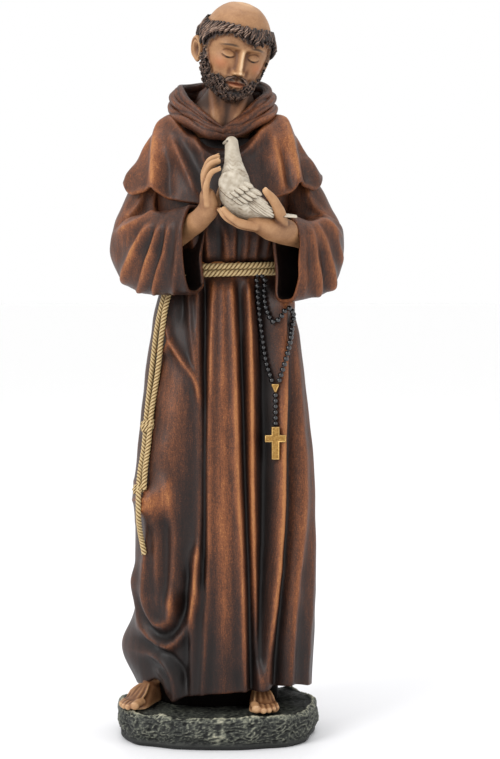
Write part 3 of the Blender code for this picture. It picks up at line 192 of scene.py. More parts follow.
# Dry-brushed warm places of the habit and places of painted shade: x, height, half spread in x and height,
# amount
WARM_AND_SHADE_SPOTS = (
    (3.5, 130, 9.0, 120, 1.0),
    (20.5, 150, 3.0, 110, 0.7),
    (43, 150, 7.0, 90, 0.8),
    (57, 130, 6.0, 90, 0.6),
    (-26, 165, 9.0, 40, 0.6),
    (-36, 130, 7.0, 10, 0.9),
    (-30, 200, 10.0, 18, 0.4),
    (-42, 346, 14.0, 24, 1.2),
    (42, 345, 14.0, 26, 1.3),
    (-56, 300, 16.0, 22, 0.8),
    (66, 297, 14.0, 22, 0.8),
    (-46, 268, 16.0, 14, 0.5),
    (60, 268, 14.0, 14, 0.5),
    (4, 368, 34.0, 12, 0.4),
    # Painted shade behind the dove and hands, under the sleeve and in deep hollows; the hem row darkens the
    # skirt's bottom
    (5, 326, 17.0, 20, -0.9),
    (0, 6, 90.0, 42.0, -0.9),
    (29, 175, 6.0, 80, -0.9),
    (-20, 250, 14.0, 24, -0.7),
    (-18, 120, 9.0, 60, -0.4),
    (3, 300, 24.0, 14, -0.4),
    (-30, 30, 16.0, 24, -0.6),
)

# The hood's rolls lie between its opening and its foot.
# By angle from the front, in degrees: x offset, y and z of each line
HOOD_RIM = (
    (0, 0.0, -24.0, 356.0),
    (25, 9.5, -21.0, 363.5),
    (50, 18.0, -15.0, 371.5),
    (90, 26.5, 0.5, 382.5),
    (140, 18.5, 16.5, 388.0),
    (180, 0.0, 22.0, 389.5),
)
HOOD_FOOT = (
    (0, 0.0, -27.5, 350.5),
    (25, 11.0, -26.5, 352.5),
    (50, 22.0, -20.5, 358.5),
    (90, 31.0, 1.0, 369.0),
    (140, 22.0, 20.0, 374.0),
    (180, 0.0, 27.0, 375.0),
)
# Each roll: its share of the way from the opening to the foot, and how far it stands out
HOOD_ROLLS = ((0.12, 3.6), (0.44, 5.0), (0.80, 4.4))
HOOD_CENTRE = 3.2
# The hood's bag behind the neck: height, half width, half depth, centre y
HOOD_BAG = (
    (390, 15.0, 5.0, 22.0),
    (380, 23.0, 9.0, 24.0),
    (362, 25.0, 10.0, 29.0),
    (344, 19.0, 8.0, 34.0),
    (330, 10.0, 5.5, 37.0),
    (321, 3.0, 3.0, 38.0),
)

# Neck sections: height, centre x, centre y, half width, half depth
NECK = (
    (344, 3.0, -3.0, 12.0, 12.0),
    (356, 3.2, -5.0, 19.0, 15.5),
    (366, 3.6, -4.6, 21.0, 16.5),
    (374, 5.0, -4.2, 18.5, 15.0),
    (382, 7.0, -4.0, 14.0, 13.4),
    (396, 9.5, -4.0, 12.8, 13.0),
)

# Sleeves by side, -1 on the -X side. Sections from the shoulder (0) to the cuff (1): centre, then the way and
# length of the half width and of the half height
SLEEVES = {
    -1: (
        (0.00, (-33, 4, 347), (10, 0, 0), (0, -10, 0)),
        (0.20, (-42, 5, 318), (15, 0, 0), (0, -15, 0)),
        (0.36, (-48.5, 5, 297), (17, 1, 0), (0, -16, 3)),
        (0.50, (-51, 1, 283), (15.5, 5, 0), (0, -12, 17)),
        (0.65, (-45, -12, 281), (12, 10, 0), (0, -2, 24)),
        (0.82, (-31, -28, 281), (9, 12, 0), (0, 0, 25.5)),
        (1.00, (-15, -42, 283), (6.2, 12, 0), (0, 0, 27)),
    ),
    1: (
        (0.00, (40, 4, 347), (10, 0, 0), (0, -10, 0)),
        (0.20, (52, 5, 318), (15.5, 0, 0), (0, -15.5, 0)),
        (0.36, (60, 5, 299), (17, -1, 0), (0, -16, 3)),
        (0.50, (63.5, 1, 287), (15.5, -4, 0), (0, -12, 17)),
        (0.65, (61, -12, 280), (14.5, -7, 0), (0, -2, 23)),
        (0.82, (53, -28, 277), (10.5, -10, 0), (0, 0, 24)),
        (1.00, (41.5, -42, 277.5), (7.4, -11.5, 0), (0, 0, 27.0)),
    ),
}
# Folds of both sleeves: height, half width, line in the front view
SLEEVE_FOLDS = (
    (3.2, 2.8, ((-33, 308), (-47, 300), (-66, 292))),
    (3.8, 2.9, ((-34, 304), (-46, 290), (-57, 266), (-60, 250))),
    (3.4, 2.7, ((-30, 305), (-38.5, 286), (-48, 262), (-50, 246))),
    (3.0, 2.6, ((-26, 306), (-31.5, 284), (-38.5, 260), (-39, 246))),
    (2.0, 2.2, ((-21, 306), (-23.5, 282), (-27.5, 248))),
    (-2.4, 2.2, ((-36, 300), (-43, 281), (-52.5, 252))),
    (-2.4, 2.2, ((-30, 298), (-35, 280), (-44, 250))),
    (2.6, 3.0, ((-42, 330), (-50, 310), (-64, 297))),
    (2.2, 2.6, ((-36, 328), (-40, 310), (-37, 300))),
    (3.2, 2.8, ((52, 306), (67, 297), (80, 287))),
    (3.8, 2.9, ((55, 304), (63, 288), (69.5, 264), (69, 248))),
    (3.4, 2.7, ((53, 302), (57, 282), (60.5, 260), (59, 246))),
    (2.8, 2.5, ((62, 304), (72, 287), (77, 268))),
    (2.0, 2.2, ((49, 300), (51, 280), (51.5, 250))),
    (-2.4, 2.2, ((59, 298), (64.6, 276), (65, 250))),
    (2.6, 2.8, ((51, 330), (60, 310), (74, 299))),
)
# How deep the cuffs are hollow
SLEEVE_HOLLOW = 26.0
# How square the cuff's outline is: 2 is an ellipse
CUFF_SQUARENESS = 3.2

# Head: its place and its turn in degrees
HEAD_CENTRE = (10.6, -8.0, 407.5)
HEAD_PITCH, HEAD_ROLL, HEAD_YAW = 20.0, 9.0, 16.0
# Head sections, from the chin to the crown: height, half width, then reach to the front and to the back
HEAD = (
    (-29.5, 3.0, 13.0, -5.0),
    (-27.5, 8.0, 18.5, 1.0),
    (-24.0, 12.0, 21.5, 5.0),
    (-18.0, 15.4, 21.8, 11.0),
    (-11.0, 17.6, 21.3, 19.0),
    (-4.0, 19.2, 20.8, 24.0),
    (4.0, 20.4, 22.0, 26.5),
    (10.0, 20.2, 22.2, 26.4),
    (14.0, 19.4, 21.2, 25.0),
    (18.0, 17.7, 19.3, 22.8),
    (22.0, 15.0, 16.3, 19.2),
    (25.0, 11.8, 12.8, 15.2),
    (27.2, 8.0, 8.7, 10.2),
    (28.4, 3.6, 4.0, 4.6),
)
# Forms of the face on one side, mirrored to the other: x, height, half spread in x and height, push outwards
FACE_FORMS = (
    (8.0, 0.2, 5.2, 3.6, -4.4),
    (3.4, 1.8, 1.8, 3.0, -1.4),
    (8.3, -0.7, 3.9, 2.7, 3.2),
    (8.8, 5.2, 5.6, 1.7, 1.9),
    (3.4, 4.3, 2.2, 1.6, 1.0),
    (12.6, -6.6, 4.4, 4.4, 1.9),
    (15.6, 4.0, 3.2, 6.0, -0.6),
    (10.2, -12.0, 4.0, 3.6, -0.8),
    (0.0, 0.8, 1.5, 3.2, 2.2),
    (0.0, -3.6, 1.6, 3.0, 3.2),
    (0.0, -7.2, 1.8, 2.8, 4.0),
    (0.0, -9.9, 2.1, 1.7, 5.2),
    (2.9, -10.6, 1.3, 1.35, 2.8),
    (5.6, -10.5, 1.5, 3.0, -0.9),
    (0.0, -13.4, 0.9, 1.4, -0.7),
    (1.5, -15.5, 1.9, 0.85, 1.5),
    (4.4, -16.0, 2.0, 0.8, 0.9),
    (0.0, -16.95, 5.4, 0.45, -1.6),
    (0.0, -18.3, 3.6, 0.95, 2.2),
    (0.0, -20.6, 4.0, 0.9, -1.1),
    (0.0, -24.6, 4.6, 3.0, 1.6),
)
# Downcast eye on one side: centre x, lash line height, half width, and the slit's height
EYE_X, LASH_HEIGHT, EYE_HALF_WIDTH, EYE_SLIT = 8.2, -2.1, 3.7, 0.75
HEAD_ROWS, HEAD_AROUND = 216, 240
# By degrees from the front, heights on the head: the fringe's upper and lower edge and the beard's upper edge
FRINGE_TOP = ((0, 17.0), (40, 16.4), (90, 13.6), (135, 14.0), (180, 14.0))
FRINGE_LOW = (
    (0, 10.2), (38, 10.0), (56, 6.0), (64, 3.0), (70, 0.0), (78, 0.0), (84, 2.5), (100, 3.0),
    (113, -4.0), (130, -14.0), (180, -19.0),
)
BEARD_TOP = (
    (0, -20.0), (12, -19.8), (22, -15.8), (34, -13.6), (58, -12.5), (66, -7.0), (72, -1.0), (80, -1.5),
    (88, -8.0), (180, -40.0),
)
# Locks in each layer of the fringe, and curls tried for the beard
FRINGE_LOCKS, BEARD_CURLS, MOUSTACHE_STRANDS = (60, 54, 48), 420, 14

# Bare arms down to the knuckles: centre line, radii, and depth as a multiple of the thickness
ARMS = (
    (
        ((-33, -19, 287), (-19, -38, 296), (-9.5, -53, 302),
         (-5.2, -58.5, 308), (-6.2, -61, 315.5), (-6.8, -61.5, 319)),
        (8.2, 7.4, 6.2, 6.3, 4.6, 4.0),
        (1.0, 1.0, 1.05, 1.2, 1.8, 2.0),
    ),
    (
        ((62, -17, 289), (49, -37, 292), (39, -51, 293.6),
         (31, -58, 295.4), (23, -61.5, 297.4), (16, -62.5, 298.2)),
        (8.6, 7.9, 7.8, 7.4, 4.9, 2.7),
        (1.0, 1.0, 1.05, 1.2, 1.75, 2.5),
    ),
)
# Fingers and thumbs: joints from the knuckle to the tip, then the radius at the knuckle and at the tip
FINGERS = (
    (((-6.0, -66, 307), (-6.3, -69.6, 321.5), (-3.6, -70, 327.4), (2.2, -69, 330.0)), 2.3, 1.5),
    (((-7.0, -64.6, 315), (-7.6, -65.4, 326), (-4.2, -66, 332.6), (1.8, -65, 335.2)), 2.4, 1.6),
    (((-7.0, -60, 316), (-7.9, -60, 328), (-4.6, -60, 335.4), (1.6, -59.5, 338.2)), 2.45, 1.6),
    (((-6.5, -55, 314), (-7.0, -54.6, 326), (-3.6, -54.6, 332.6), (2.0, -54, 335.4)), 2.35, 1.6),
    (((-3.0, -53, 304), (0.0, -49, 312), (2.0, -48, 318.0), (4.0, -48, 323.0)), 3.0, 2.0),
    (((25.0, -67.0, 295.8), (12.0, -69.8, 298.6), (6.0, -69.6, 303.0), (2.6, -68.6, 307.6)), 3.2, 1.7),
    (((25.0, -63.6, 295.2), (11.0, -65.2, 298.0), (3.9, -64.8, 302.4), (0.6, -63.6, 307.2)), 3.2, 1.7),
    (((25.0, -59.4, 295.2), (11.0, -60, 298.2), (4.4, -59.8, 302.4), (1.2, -58.8, 307.2)), 3.1, 1.7),
    (((25.0, -55.6, 296.0), (13.0, -54.6, 299), (8.0, -54, 302.2), (5.0, -53, 305.8)), 2.9, 1.6),
    (((38.4, -57, 296), (36.6, -64, 303.4), (33.0, -68.4, 311.0), (26.6, -69.4, 318.2)), 4.7, 2.0),
)
# Thickness of a finger at its root, joints and tip, and of a toe, as shares of their radius
FINGER_SWELLS = (1.0, 0.95, 0.96, 1.05, 0.94, 1.02, 0.98, 0.88)
TOE_SWELLS = (0.95, 0.88, 0.84, 0.92, 0.84, 1.04, 0.95)
# The hands and feet are joined to one skin of this grain
FLESH_GRAIN = 0.6
# Nails: which finger each is on and the way it faces
NAILS = (
    (0, (-0.45, -0.2, 0.9)),
    (1, (-0.45, -0.1, 0.9)),
    (2, (-0.45, 0.0, 0.9)),
    (3, (-0.45, 0.1, 0.9)),
    (5, (-0.7, -0.4, -0.6)),
    (6, (-0.75, 0.0, -0.65)),
    (7, (-0.75, 0.1, -0.65)),
    (9, (0.5, -0.8, 0.3)),
)

# Dove: centre path with half height (in the front view) and half thickness, from the crown to the rump
DOVE_BODY = (
    ((8.2, -60, 349.4), 3.7, 3.4),
    ((8.2, -60, 345.6), 3.9, 3.7),
    ((8.5, -60, 341.0), 4.3, 4.0),
    ((9.2, -60, 334.0), 5.3, 4.9),
    ((9.8, -60, 325.5), 8.4, 7.2),
    ((11.0, -60, 316.0), 10.4, 8.8),
    ((16.5, -60, 308.5), 9.0, 8.2),
    ((27.0, -60, 304.6), 4.8, 6.0),
    ((36.0, -59, 303.2), 2.4, 4.6),
)
DOVE_ROWS, DOVE_AROUND = 110, 64
DOVE_BEAK = ((6.4, -61.2, 346.0), (4.4, -61.8, 345.6), (3.0, -62.0, 344.6))
DOVE_EYE = (5.6, -62.9, 346.3)
# The wing's own frame in the front view: its shoulder, and the way to its tip
WING_SHOULDER, WING_WAY = (6.0, 322.0), (0.795, -0.607)
# Rows of wing feathers from the bottom layer up: how far each stands out, length, half width, and the tips as
# (along the wing, across it) from the upper edge to the lower one
WING_ROWS = (
    (0.2, 17.0, 1.5,
     ((26.4, 4.0), (29.2, 3.0), (31.6, 2.0), (33.4, 0.8), (33.6, -0.5), (31.0, -2.0), (27.4, -3.2))),
    (0.9, 12.0, 2.0, ((20.6, 5.9), (19.4, 2.9), (18.2, -0.2), (16.9, -3.0), (15.1, -5.4))),
    (1.5, 9.0, 2.1, ((13.8, 6.2), (12.8, 3.1), (11.6, 0.0), (10.3, -3.1), (8.4, -5.8))),
)
# Tail feathers: roots of the first and the last, then their tips
TAIL = ((26.0, -58.0, 305.0), (26.0, -63.5, 303.8), (46.8, -55.5, 302.4), (46.8, -66.0, 300.9))

# Feet: ankle and toe line on the sole plane, with -1 for the foot on the -X side
FEET = {-1: ((-41.0, -3.5), (-52.0, -25.0)), 1: ((25.5, -14.0), (28.0, -36.0))}
# Foot sections from the heel to the ball: place ahead of the ball, half width, height
FOOT = (
    (-34.0, 2.0, 3.0), (-32.0, 4.8, 7.5), (-28.0, 6.2, 11.0), (-21.0, 6.6, 14.0), (-14.0, 6.9, 12.6),
    (-8.0, 7.9, 9.6), (-3.0, 8.8, 7.0), (1.0, 9.1, 5.4), (4.0, 7.9, 3.8), (6.0, 6.0, 2.6),
)
# Height of the flat of the sole
SOLE_LEVEL = 0.01
# Toes from the big one: place across the foot, root, reach past the root, radius
TOES = (
    (6.0, 3.0, 9.4, 2.9), (1.7, 3.6, 9.0, 2.05), (-1.9, 2.6, 8.4, 1.9), (-5.1, 0.6, 7.4, 1.8),
    (-7.8, -2.2, 6.2, 1.65),
)

# Waist cord and hanging cord: the belt's height, each rope's radius and how far apart its turns are
BELT = 271.0
WAIST_CORD, WAIST_PITCH, HANGING_CORD, HANGING_PITCH = 2.1, 8.0, 1.7, 6.9
# The two turns round the waist stand this far off the skirt and this far apart
WAIST_CLEARANCE, WAIST_STEP = 2.6, 4.2
# The two hanging strands in the front view
CORD_STRANDS = (
    ((-33, 256), (-34.8, 248), (-37.2, 237), (-40, 215), (-44.3, 178),
     (-45.5, 162), (-48, 146), (-48.6, 130), (-48, 112), (-45.4, 96)),
    ((-30, 256), (-32.0, 248), (-33.6, 238), (-36.5, 212),
     (-41.4, 178), (-42.6, 164), (-44.4, 150), (-45.2, 137)),
)
# Knots of the hanging cord: place in the front view and size
KNOTS = (((-43.2, 175.5), 2.8), ((-48.4, 137.5), 2.4))

# Rosary: beads, the loop's line in the front view, the centre medal and the cross
BEAD_RADIUS, BEAD_PITCH = 1.75, 3.5
ROSARY_LOOP = (
    (33.5, 201.6), (29.8, 213.0), (27.0, 230.0), (25.0, 247.0), (24.2, 260.0), (24.8, 268.5),
    (27.6, 267.0), (28.4, 256.0), (30.0, 246.0), (34.6, 239.0), (38.6, 242.0), (41.0, 246.0),
    (44.0, 247.5), (46.4, 244.0), (45.8, 236.0), (42.6, 220.0), (37.0, 201.6),
)
MEDAL_PLACE, MEDAL_SIZE, MEDAL_THICKNESS = (35.2, 198.5), (4.6, 5.2), 1.8
CROSS_PLACE, CROSS_SIZE, CROSS_BAR, CROSS_THICKNESS = (35.2, 165.0), (13.1, 20.2), 4.9, 2.2

# Half side of the studio floor, in metres
FLOOR_REACH = 30.0
# How far from the statue the floor is fully white, in metres
FLOOR_FADE = 2.2

# Rock base
BASE_SIZE, BASE_CENTRE_Y = (125.0, 94.0, 19.7), -7.5
ROCK_AROUND, ROCK_WALL_ROWS, ROCK_TOP_ROWS = 500, 50, 44
# How far the wall lies in from the base's width, by share of its height
ROCK_INSET = ((0.0, 3.0), (0.12, 1.2), (0.20, 2.0), (0.48, 0.4), (0.80, 0.6), (0.95, 1.6), (1.0, 3.0))

# Slots of the record
BROWN_RESIN, ROCK_RESIN = "painted_resin_brown", "painted_resin_rock"
BLACK_BEADS, BRONZE = "black_beads", "antique_bronze"

# Paint along each ramp, from the wash in the hollows to the brushed crests
HABIT_COLOURS = (
    (0.08, "#0a0504"),
    (0.30, "#180c08"),
    (0.46, "#2a160e"),
    (0.62, "#4a2917"),
    (0.80, "#754325"),
    (1.00, "#a26a3c"),
)
FLESH_COLOURS = ((0.10, "#321d0f"), (0.34, "#6a452b"), (0.52, "#9b7350"), (0.74, "#b8926b"), (1.0, "#d3b592"))
HAIR_BED_COLOURS = ((0.25, "#0d0908"), (0.5, "#1f1511"), (0.75, "#43332d"), (1.0, "#75645e"))
HAIR_COLOURS = ((0.10, "#0b0604"), (0.38, "#20130c"), (0.58, "#4a3224"), (0.78, "#836856"), (1.0, "#bda593"))
DOVE_COLOURS = ((0.16, "#35241a"), (0.34, "#6d5a44"), (0.50, "#978b79"), (0.72, "#b4aa99"), (1.0, "#d0c9bb"))
CORD_COLOURS = ((0.05, "#2a1b0d"), (0.32, "#553d22"), (0.58, "#7d6139"), (0.82, "#9c8053"), (1.0, "#c0a97c"))
BEAD_COLOURS = ((0.3, "#070708"), (0.8, "#1b191b"))
BRONZE_COLOURS = ((0.25, "#35240f"), (0.5, "#6f4f26"), (0.75, "#a27c42"), (1.0, "#d0ad70"))
ROCK_COLOURS = ((0.20, "#080908"), (0.42, "#1b1d1a"), (0.58, "#3c3e37"), (0.78, "#6f7062"), (1.0, "#a19e89"))
# The floor from the statue outwards: painted shade, greyer round the statue, fading to white
FLOOR_SHADE_COLOURS = ((0.0, "#e9e9eb"), (0.3, "#eeeef0"), (1.0, "#fefefe"))
# Painted details of the face: stored mark, how much of it shows, colour
FACE_PAINT = (
    ("blush", 0.42, "#a4522e"),
    ("lips", 0.65, "#83402f"),
    ("brows", 0.9, "#2a1811"),
    ("eyes", 0.95, "#170d0a"),
)

# Soft boxes: name, place and size in metres, power in watts
SOFT_BOXES = (
    ("key_soft_box", (-1.0, -1.0, 1.0), (0.7, 0.9), 15),
    ("fill_soft_box", (1.3, -0.8, 0.6), (0.8, 1.2), 4),
    ("top_soft_box", (0.0, 0.1, 1.6), (1.2, 1.0), 7),
)
LIGHT_AIM = (0.0, 0.0, 0.24)
CAMERA_PLACE, CAMERA_AIM, CAMERA_LENS = (0.0, -1.1, 0.28), (0.0202, 0.0, 0.2223), 83.0


def keyed(keys, at):
    """Smooth curve through rows of (position, values...): cubic pieces, slopes the neighbours' mean."""
    keys = np.asarray(keys, float)
    at = np.asarray(at, float)
    place, value = keys[:, 0], keys[:, 1:]
    slope = np.gradient(value, place, axis=0)
    i = np.clip(np.searchsorted(place, at, side="right") - 1, 0, len(place) - 2)
    span = place[i + 1] - place[i]
    t = np.clip((at - place[i]) / span, 0, 1)[..., None]
    span = span[..., None]
    low, high = value[i], value[i + 1]
    return (
        low * (1 + 2 * t) * (1 - t) ** 2
        + high * t * t * (3 - 2 * t)
        + slope[i] * span * t * (1 - t) ** 2
        - slope[i + 1] * span * t * t * (1 - t)
    )


def line_lengths(points):
    """Length of a line of points up to each of them."""
    return np.concatenate([[0], np.cumsum(np.linalg.norm(np.diff(points, axis=0), axis=1))])


def smooth_line(points, count):
    """A smooth line through the points, read at count places an equal way apart."""
    points = np.asarray(points, float)
    along = line_lengths(points)
    fine = keyed(np.column_stack([along, points]), np.linspace(0, along[-1], count * 4))
    along = line_lengths(fine)
    steps = np.linspace(0, along[-1], count)
    return np.column_stack([np.interp(steps, along, fine[:, k]) for k in range(points.shape[1])])


def unit(vectors):
    """Vectors divided by their lengths."""
    return vectors / np.maximum(np.linalg.norm(vectors, axis=-1, keepdims=True), 1e-9)


def full_turn(count, start=-math.pi):
    """Angles of points evenly spread round a ring, from the start angle."""
    return np.linspace(start, start + 2 * math.pi, count, endpoint=False)


def bell(away, spread, power=2):
    """A hump, exp(-|away / spread| to a power): 1 in the middle and about a third at the spread."""
    return np.exp(-(np.abs(away / spread) ** power))


def smooth_step(low, high, value):
    """0 up to low, 1 from high on, and the cubic 3t2 - 2t3 between them; low may be the higher one."""
    t = np.clip((value - low) / (high - low), 0, 1)
    return t * t * (3 - 2 * t)


def distance_to_line(x, z, line):
    """How far each front-view point is from a smooth line, and the share of the line at its nearest point."""
    line = smooth_line(line, 3 * len(line))
    best = np.full(np.shape(x), 1e9)
    share_along = np.zeros(np.shape(x))
    for k in range(len(line) - 1):
        step = line[k + 1] - line[k]
        away_x, away_z = x - line[k, 0], z - line[k, 1]
        share = np.clip((away_x * step[0] + away_z * step[1]) / (step @ step), 0, 1)
        far = np.hypot(away_x - share * step[0], away_z - share * step[1])
        nearer = far < best
        best = np.where(nearer, far, best)
        share_along = np.where(nearer, (k + share) / (len(line) - 1), share_along)
    return best, share_along


def fold_lift(x, z, folds):
    """Sum of the folds: each a rounded crest or hollow along its line, fading out at the line's ends."""
    lift = np.zeros(np.shape(x))
    for height, width, line in folds:
        near, along = distance_to_line(x, z, line)
        length = line_lengths(np.asarray(line, float))[-1]
        end = min(FOLD_END, length / 3) / length
        fade = smooth_step(0, end, along) * smooth_step(1, 1 - end, along)
        lift += height * bell(near, width, 1.7) * fade
    return lift


def outward(grid):
    """Unit normals of a grid of points whose rows are closed rings."""
    down = np.gradient(grid, axis=0)
    around = np.roll(grid, -1, axis=1) - np.roll(grid, 1, axis=1)
    normal = unit(np.cross(around, down))
    middle = grid.mean(axis=1, keepdims=True)
    return normal * np.sign((normal * (grid - middle)).sum(-1).mean())


def oval(angle, half_width, half_depth, power=2.25):
    """A rounded oval in plan: angle 0 is the front, at -Y, and a quarter turn is +X."""
    s, c = np.sin(angle), np.cos(angle)
    x = half_width * np.sign(s) * np.abs(s) ** (2 / power)
    y = -half_depth * np.sign(c) * np.abs(c) ** (2 / power)
    return x, y


def ripple(x, y, z, size, seed):
    """Smooth seeded unevenness, about -1 to 1: seven sine waves in scattered directions, size across."""
    draw = np.random.default_rng(seed)
    total = np.zeros(np.shape(x))
    for _ in range(7):
        direction = draw.normal(size=3)
        direction *= 2 * math.pi / (size * draw.uniform(0.7, 1.6) * np.linalg.norm(direction))
        total += np.sin(direction[0] * x + direction[1] * y + direction[2] * z + draw.uniform(0, 6.28))
    return total / 3.2


def skirt_grids(rows, around):
    """Skirt from belt to hem: ovals with folds raised along the normals, then lip, inside and core."""
    angle = full_turn(around)
    hem = keyed(HEM, np.degrees(angle))[:, 0]
    z = SKIRT_TOP + (hem[None, :] - SKIRT_TOP) * np.linspace(0, 1, rows)[:, None]
    centre_x, half_width, half_depth, centre_y = np.moveaxis(keyed(SKIRT, z), -1, 0)
    x, y = oval(angle[None, :], half_width, half_depth)
    x, y = x + centre_x, y + centre_y
    grid = np.stack([x, y, z], axis=-1)
    normal = outward(grid)
    front = smooth_step(-0.08, 0.34, -normal[..., 1])
    lower = 1 - z / SKIRT_TOP
    lift = fold_lift(x, z, SKIRT_FOLDS) * (1 - 0.9 * smooth_step(256, 268, z))
    leg, _ = distance_to_line(x, z, (HIP, KNEE))
    share = smooth_step(HIP[1], KNEE[1], z)
    lift += (HIP_PUSH + (KNEE_PUSH - HIP_PUSH) * share) * bell(leg, LEG_WIDTH)
    shin, _ = distance_to_line(x, z, (KNEE, SHIN_FOOT))
    lift += SHIN_PUSH * bell(shin, SHIN_WIDTH)
    lift *= front
    right = smooth_step(-0.2, 0.2, normal[..., 0])
    behind = smooth_step(0, 1, (normal[..., 1] + 0.3 + 0.15 * right) / 0.93)
    pleats = BACK_PLEATS / 2 * angle + 0.5 * np.sin(3 * angle)
    drift = 0.5 * np.sin(z / 60 + 2 * angle[None, :])
    wave = np.abs(np.sin(pleats[None, :] + drift)) ** 0.75
    lift += behind * (1.0 + 6.0 * lower) * (wave - 0.65)
    degrees = np.degrees(angle)[None, :]
    lift += FLARE_REACH * bell(degrees - FLARE_ANGLE, FLARE_ARC) * bell(z - FLARE_HEIGHT, FLARE_TALL)
    lift -= ANKLE_TUCK * bell(degrees - ANKLE_ANGLE, ANKLE_ARC) * smooth_step(70, 20, z)
    lift += 0.25 * ripple(x, y, z, 18, SEED) * smooth_step(SKIRT_TOP, 240, z)
    grid = grid + normal * lift[..., None]
    inward = -outward(grid)[-1] * [1, 1, 0]
    edge = grid[-1]
    lip = [edge + inward * CLOTH_WALL * (0.12, 0.5, 0.88)[k] - [0, 0, (0.5, 0.7, 0.5)[k]] for k in range(3)]
    inner = edge + inward * CLOTH_WALL
    roof = edge * [1, 1, 0] + inward * CLOTH_WALL * 1.5 + [0, 0, 1] * (hem[:, None] + 9.0)
    core_x, core_y = oval(angle, CORE_WIDTH, CORE_DEPTH)
    core_top = np.column_stack([core_x, core_y + CORE_BACK, np.full(around, CORE_TOP)])
    core_foot = core_top * [1, 1, 0] + [0, 0, 0.02]
    return np.concatenate([grid, lip, [inner, roof, core_top, core_foot]])


def torso_grids(rows, around):
    """The bodice between the belt and the cape, bloused over the belt, with pleats gathered to it."""
    angle = full_turn(around)
    z = np.repeat(np.linspace(TORSO[0][0], TORSO[-1][0], rows)[:, None], around, axis=1)
    half_width, half_depth = np.moveaxis(keyed(TORSO, z), -1, 0)
    x, y = oval(angle[None, :], half_width, half_depth)
    grid = np.stack([x + 3.0, y, z], axis=-1)
    normal = outward(grid)
    front = smooth_step(0.1, 0.5, -normal[..., 1])
    lift = fold_lift(grid[..., 0], z, TORSO_FOLDS) * front * smooth_step(271, 281, z)
    behind = smooth_step(0.1, 0.6, normal[..., 1])
    wave = np.abs(np.sin(8 * angle + 0.7 * np.sin(2 * angle)))[None, :] ** 0.75
    lift += behind * 2.6 * (wave - 0.65) * smooth_step(272, 286, z) * smooth_step(330, 296, z)
    return grid + normal * lift[..., None]


def cape_grids(rows, around):
    """The shoulder cape: ovals that widen and drop from neck to wavy hem, then its lip and its inside."""
    angle = full_turn(around)
    share = np.linspace(0, 1, rows)[:, None] * np.ones(around)[None, :]
    half_width, half_depth, side, front, back = np.moveaxis(keyed(CAPE, share), -1, 0)
    x, y = oval(angle[None, :], half_width, half_depth, 2.15)
    fore = np.maximum(np.cos(angle), 0)[None, :] ** 1.5
    aft = np.maximum(-np.cos(angle), 0)[None, :] ** 1.5
    z = side * (1 - fore - aft) + front * fore + back * aft
    z += keyed(CAPE_HEM, np.degrees(angle))[:, 0][None, :] * share**3
    grid = np.stack([x + CAPE_CENTRE, y, z], axis=-1)
    normal = outward(grid)
    facing = smooth_step(0.05, 0.45, -normal[..., 1])
    lift = fold_lift(grid[..., 0], grid[..., 2], CAPE_FOLDS) * facing
    wave = np.abs(np.sin(angle * 3.5 + 0.3 * np.sin(2 * angle)))[None, :] ** 0.75
    behind = smooth_step(0.1, 0.8, -np.cos(angle))[None, :]
    lift += behind * 4.6 * share**2 * (wave - 0.65)
    lift += 0.3 * ripple(*np.moveaxis(grid, -1, 0), 14, SEED + 1)
    grid = grid + normal * lift[..., None]
    normal = outward(grid)
    edge = grid[-1]
    lip_rings = ((0.1, 0.6), (0.5, 0.9), (0.9, 0.6))
    lip = [edge - normal[-1] * CLOTH_WALL * share - [0, 0, drop] for share, drop in lip_rings]
    depths = ((-1, 1.0), (-rows // 8, 1.2), (-rows // 4, 1.8), (-rows // 2, 2.6))
    inside = [grid[row] - normal[row] * CLOTH_WALL * deep for row, deep in depths]
    return np.concatenate([grid, lip, inside])


def hood_grids(rows, around):
    """Soft rolls nested round the neck: flattened tubes on rings between the hood's opening and its foot."""
    angle = full_turn(rows)
    away = np.degrees(np.abs(angle))
    mirror = np.column_stack([np.sign(angle), np.ones(rows), np.ones(rows)])
    rim = keyed(HOOD_RIM, away) * mirror + [HOOD_CENTRE, 0, 0]
    foot = keyed(HOOD_FOOT, away) * mirror + [HOOD_CENTRE, 0, 0]
    band = foot - rim
    height = np.linalg.norm(band, axis=1)
    down = band / height[:, None]
    turn = full_turn(around, 0)
    grids = []
    for number, (share, stands) in enumerate(HOOD_ROLLS):
        wander = share + 0.055 * np.sin(2 * angle + 2.1 * number) + 0.03 * np.sin(5 * angle + 1.3 * number)
        centre = rim + band * wander[:, None]
        tangent = np.roll(centre, -1, axis=0) - np.roll(centre, 1, axis=0)
        out = unit(np.cross(tangent, down))
        out *= np.sign((out * (centre - [HOOD_CENTRE, 0, 370.0])).sum(1))[:, None]
        uneven = 1 + 0.12 * np.sin(3 * angle + number) + 0.05 * np.sin(8 * angle + 2 * number)
        tall = (0.205 * height + 0.9) * uneven
        stand = stands * (1 + 0.12 * np.sin(4 * angle + 1.7 * number))
        depth = np.where(np.cos(turn) > 0, 1.0, 0.55) * np.cos(turn)
        drift = 0.8 * np.sin(3 * angle + 2.0 * number) + 0.5 * np.sin(7 * angle + number)
        crease = 1.1 * (np.abs(np.sin(1.5 * turn[None, :] + drift[:, None])) ** 0.7 - 0.75)
        tall = tall[:, None] + 0.5 * crease
        grid = centre[:, None, :] + down[:, None, :] * (tall * np.sin(turn))[..., None]
        grids.append(grid + out[:, None, :] * ((stand[:, None] + crease) * depth)[..., None])
    return grids


def stacked_ovals(sections, rows, around, power=2.0):
    """A closed form from ovals at rows of (height, centre x, centre y, half width, half depth)."""
    sections = np.array(sorted(sections), float)
    height = np.linspace(sections[0, 0], sections[-1, 0], rows)
    centre_x, centre_y, half_width, half_depth = keyed(sections, height).T
    angle = full_turn(around)
    x, y = oval(angle[None, :], half_width[:, None], half_depth[:, None], power)
    z = np.repeat(height[:, None], around, axis=1)
    return np.stack([x + centre_x[:, None], y + centre_y[:, None], z], axis=-1)


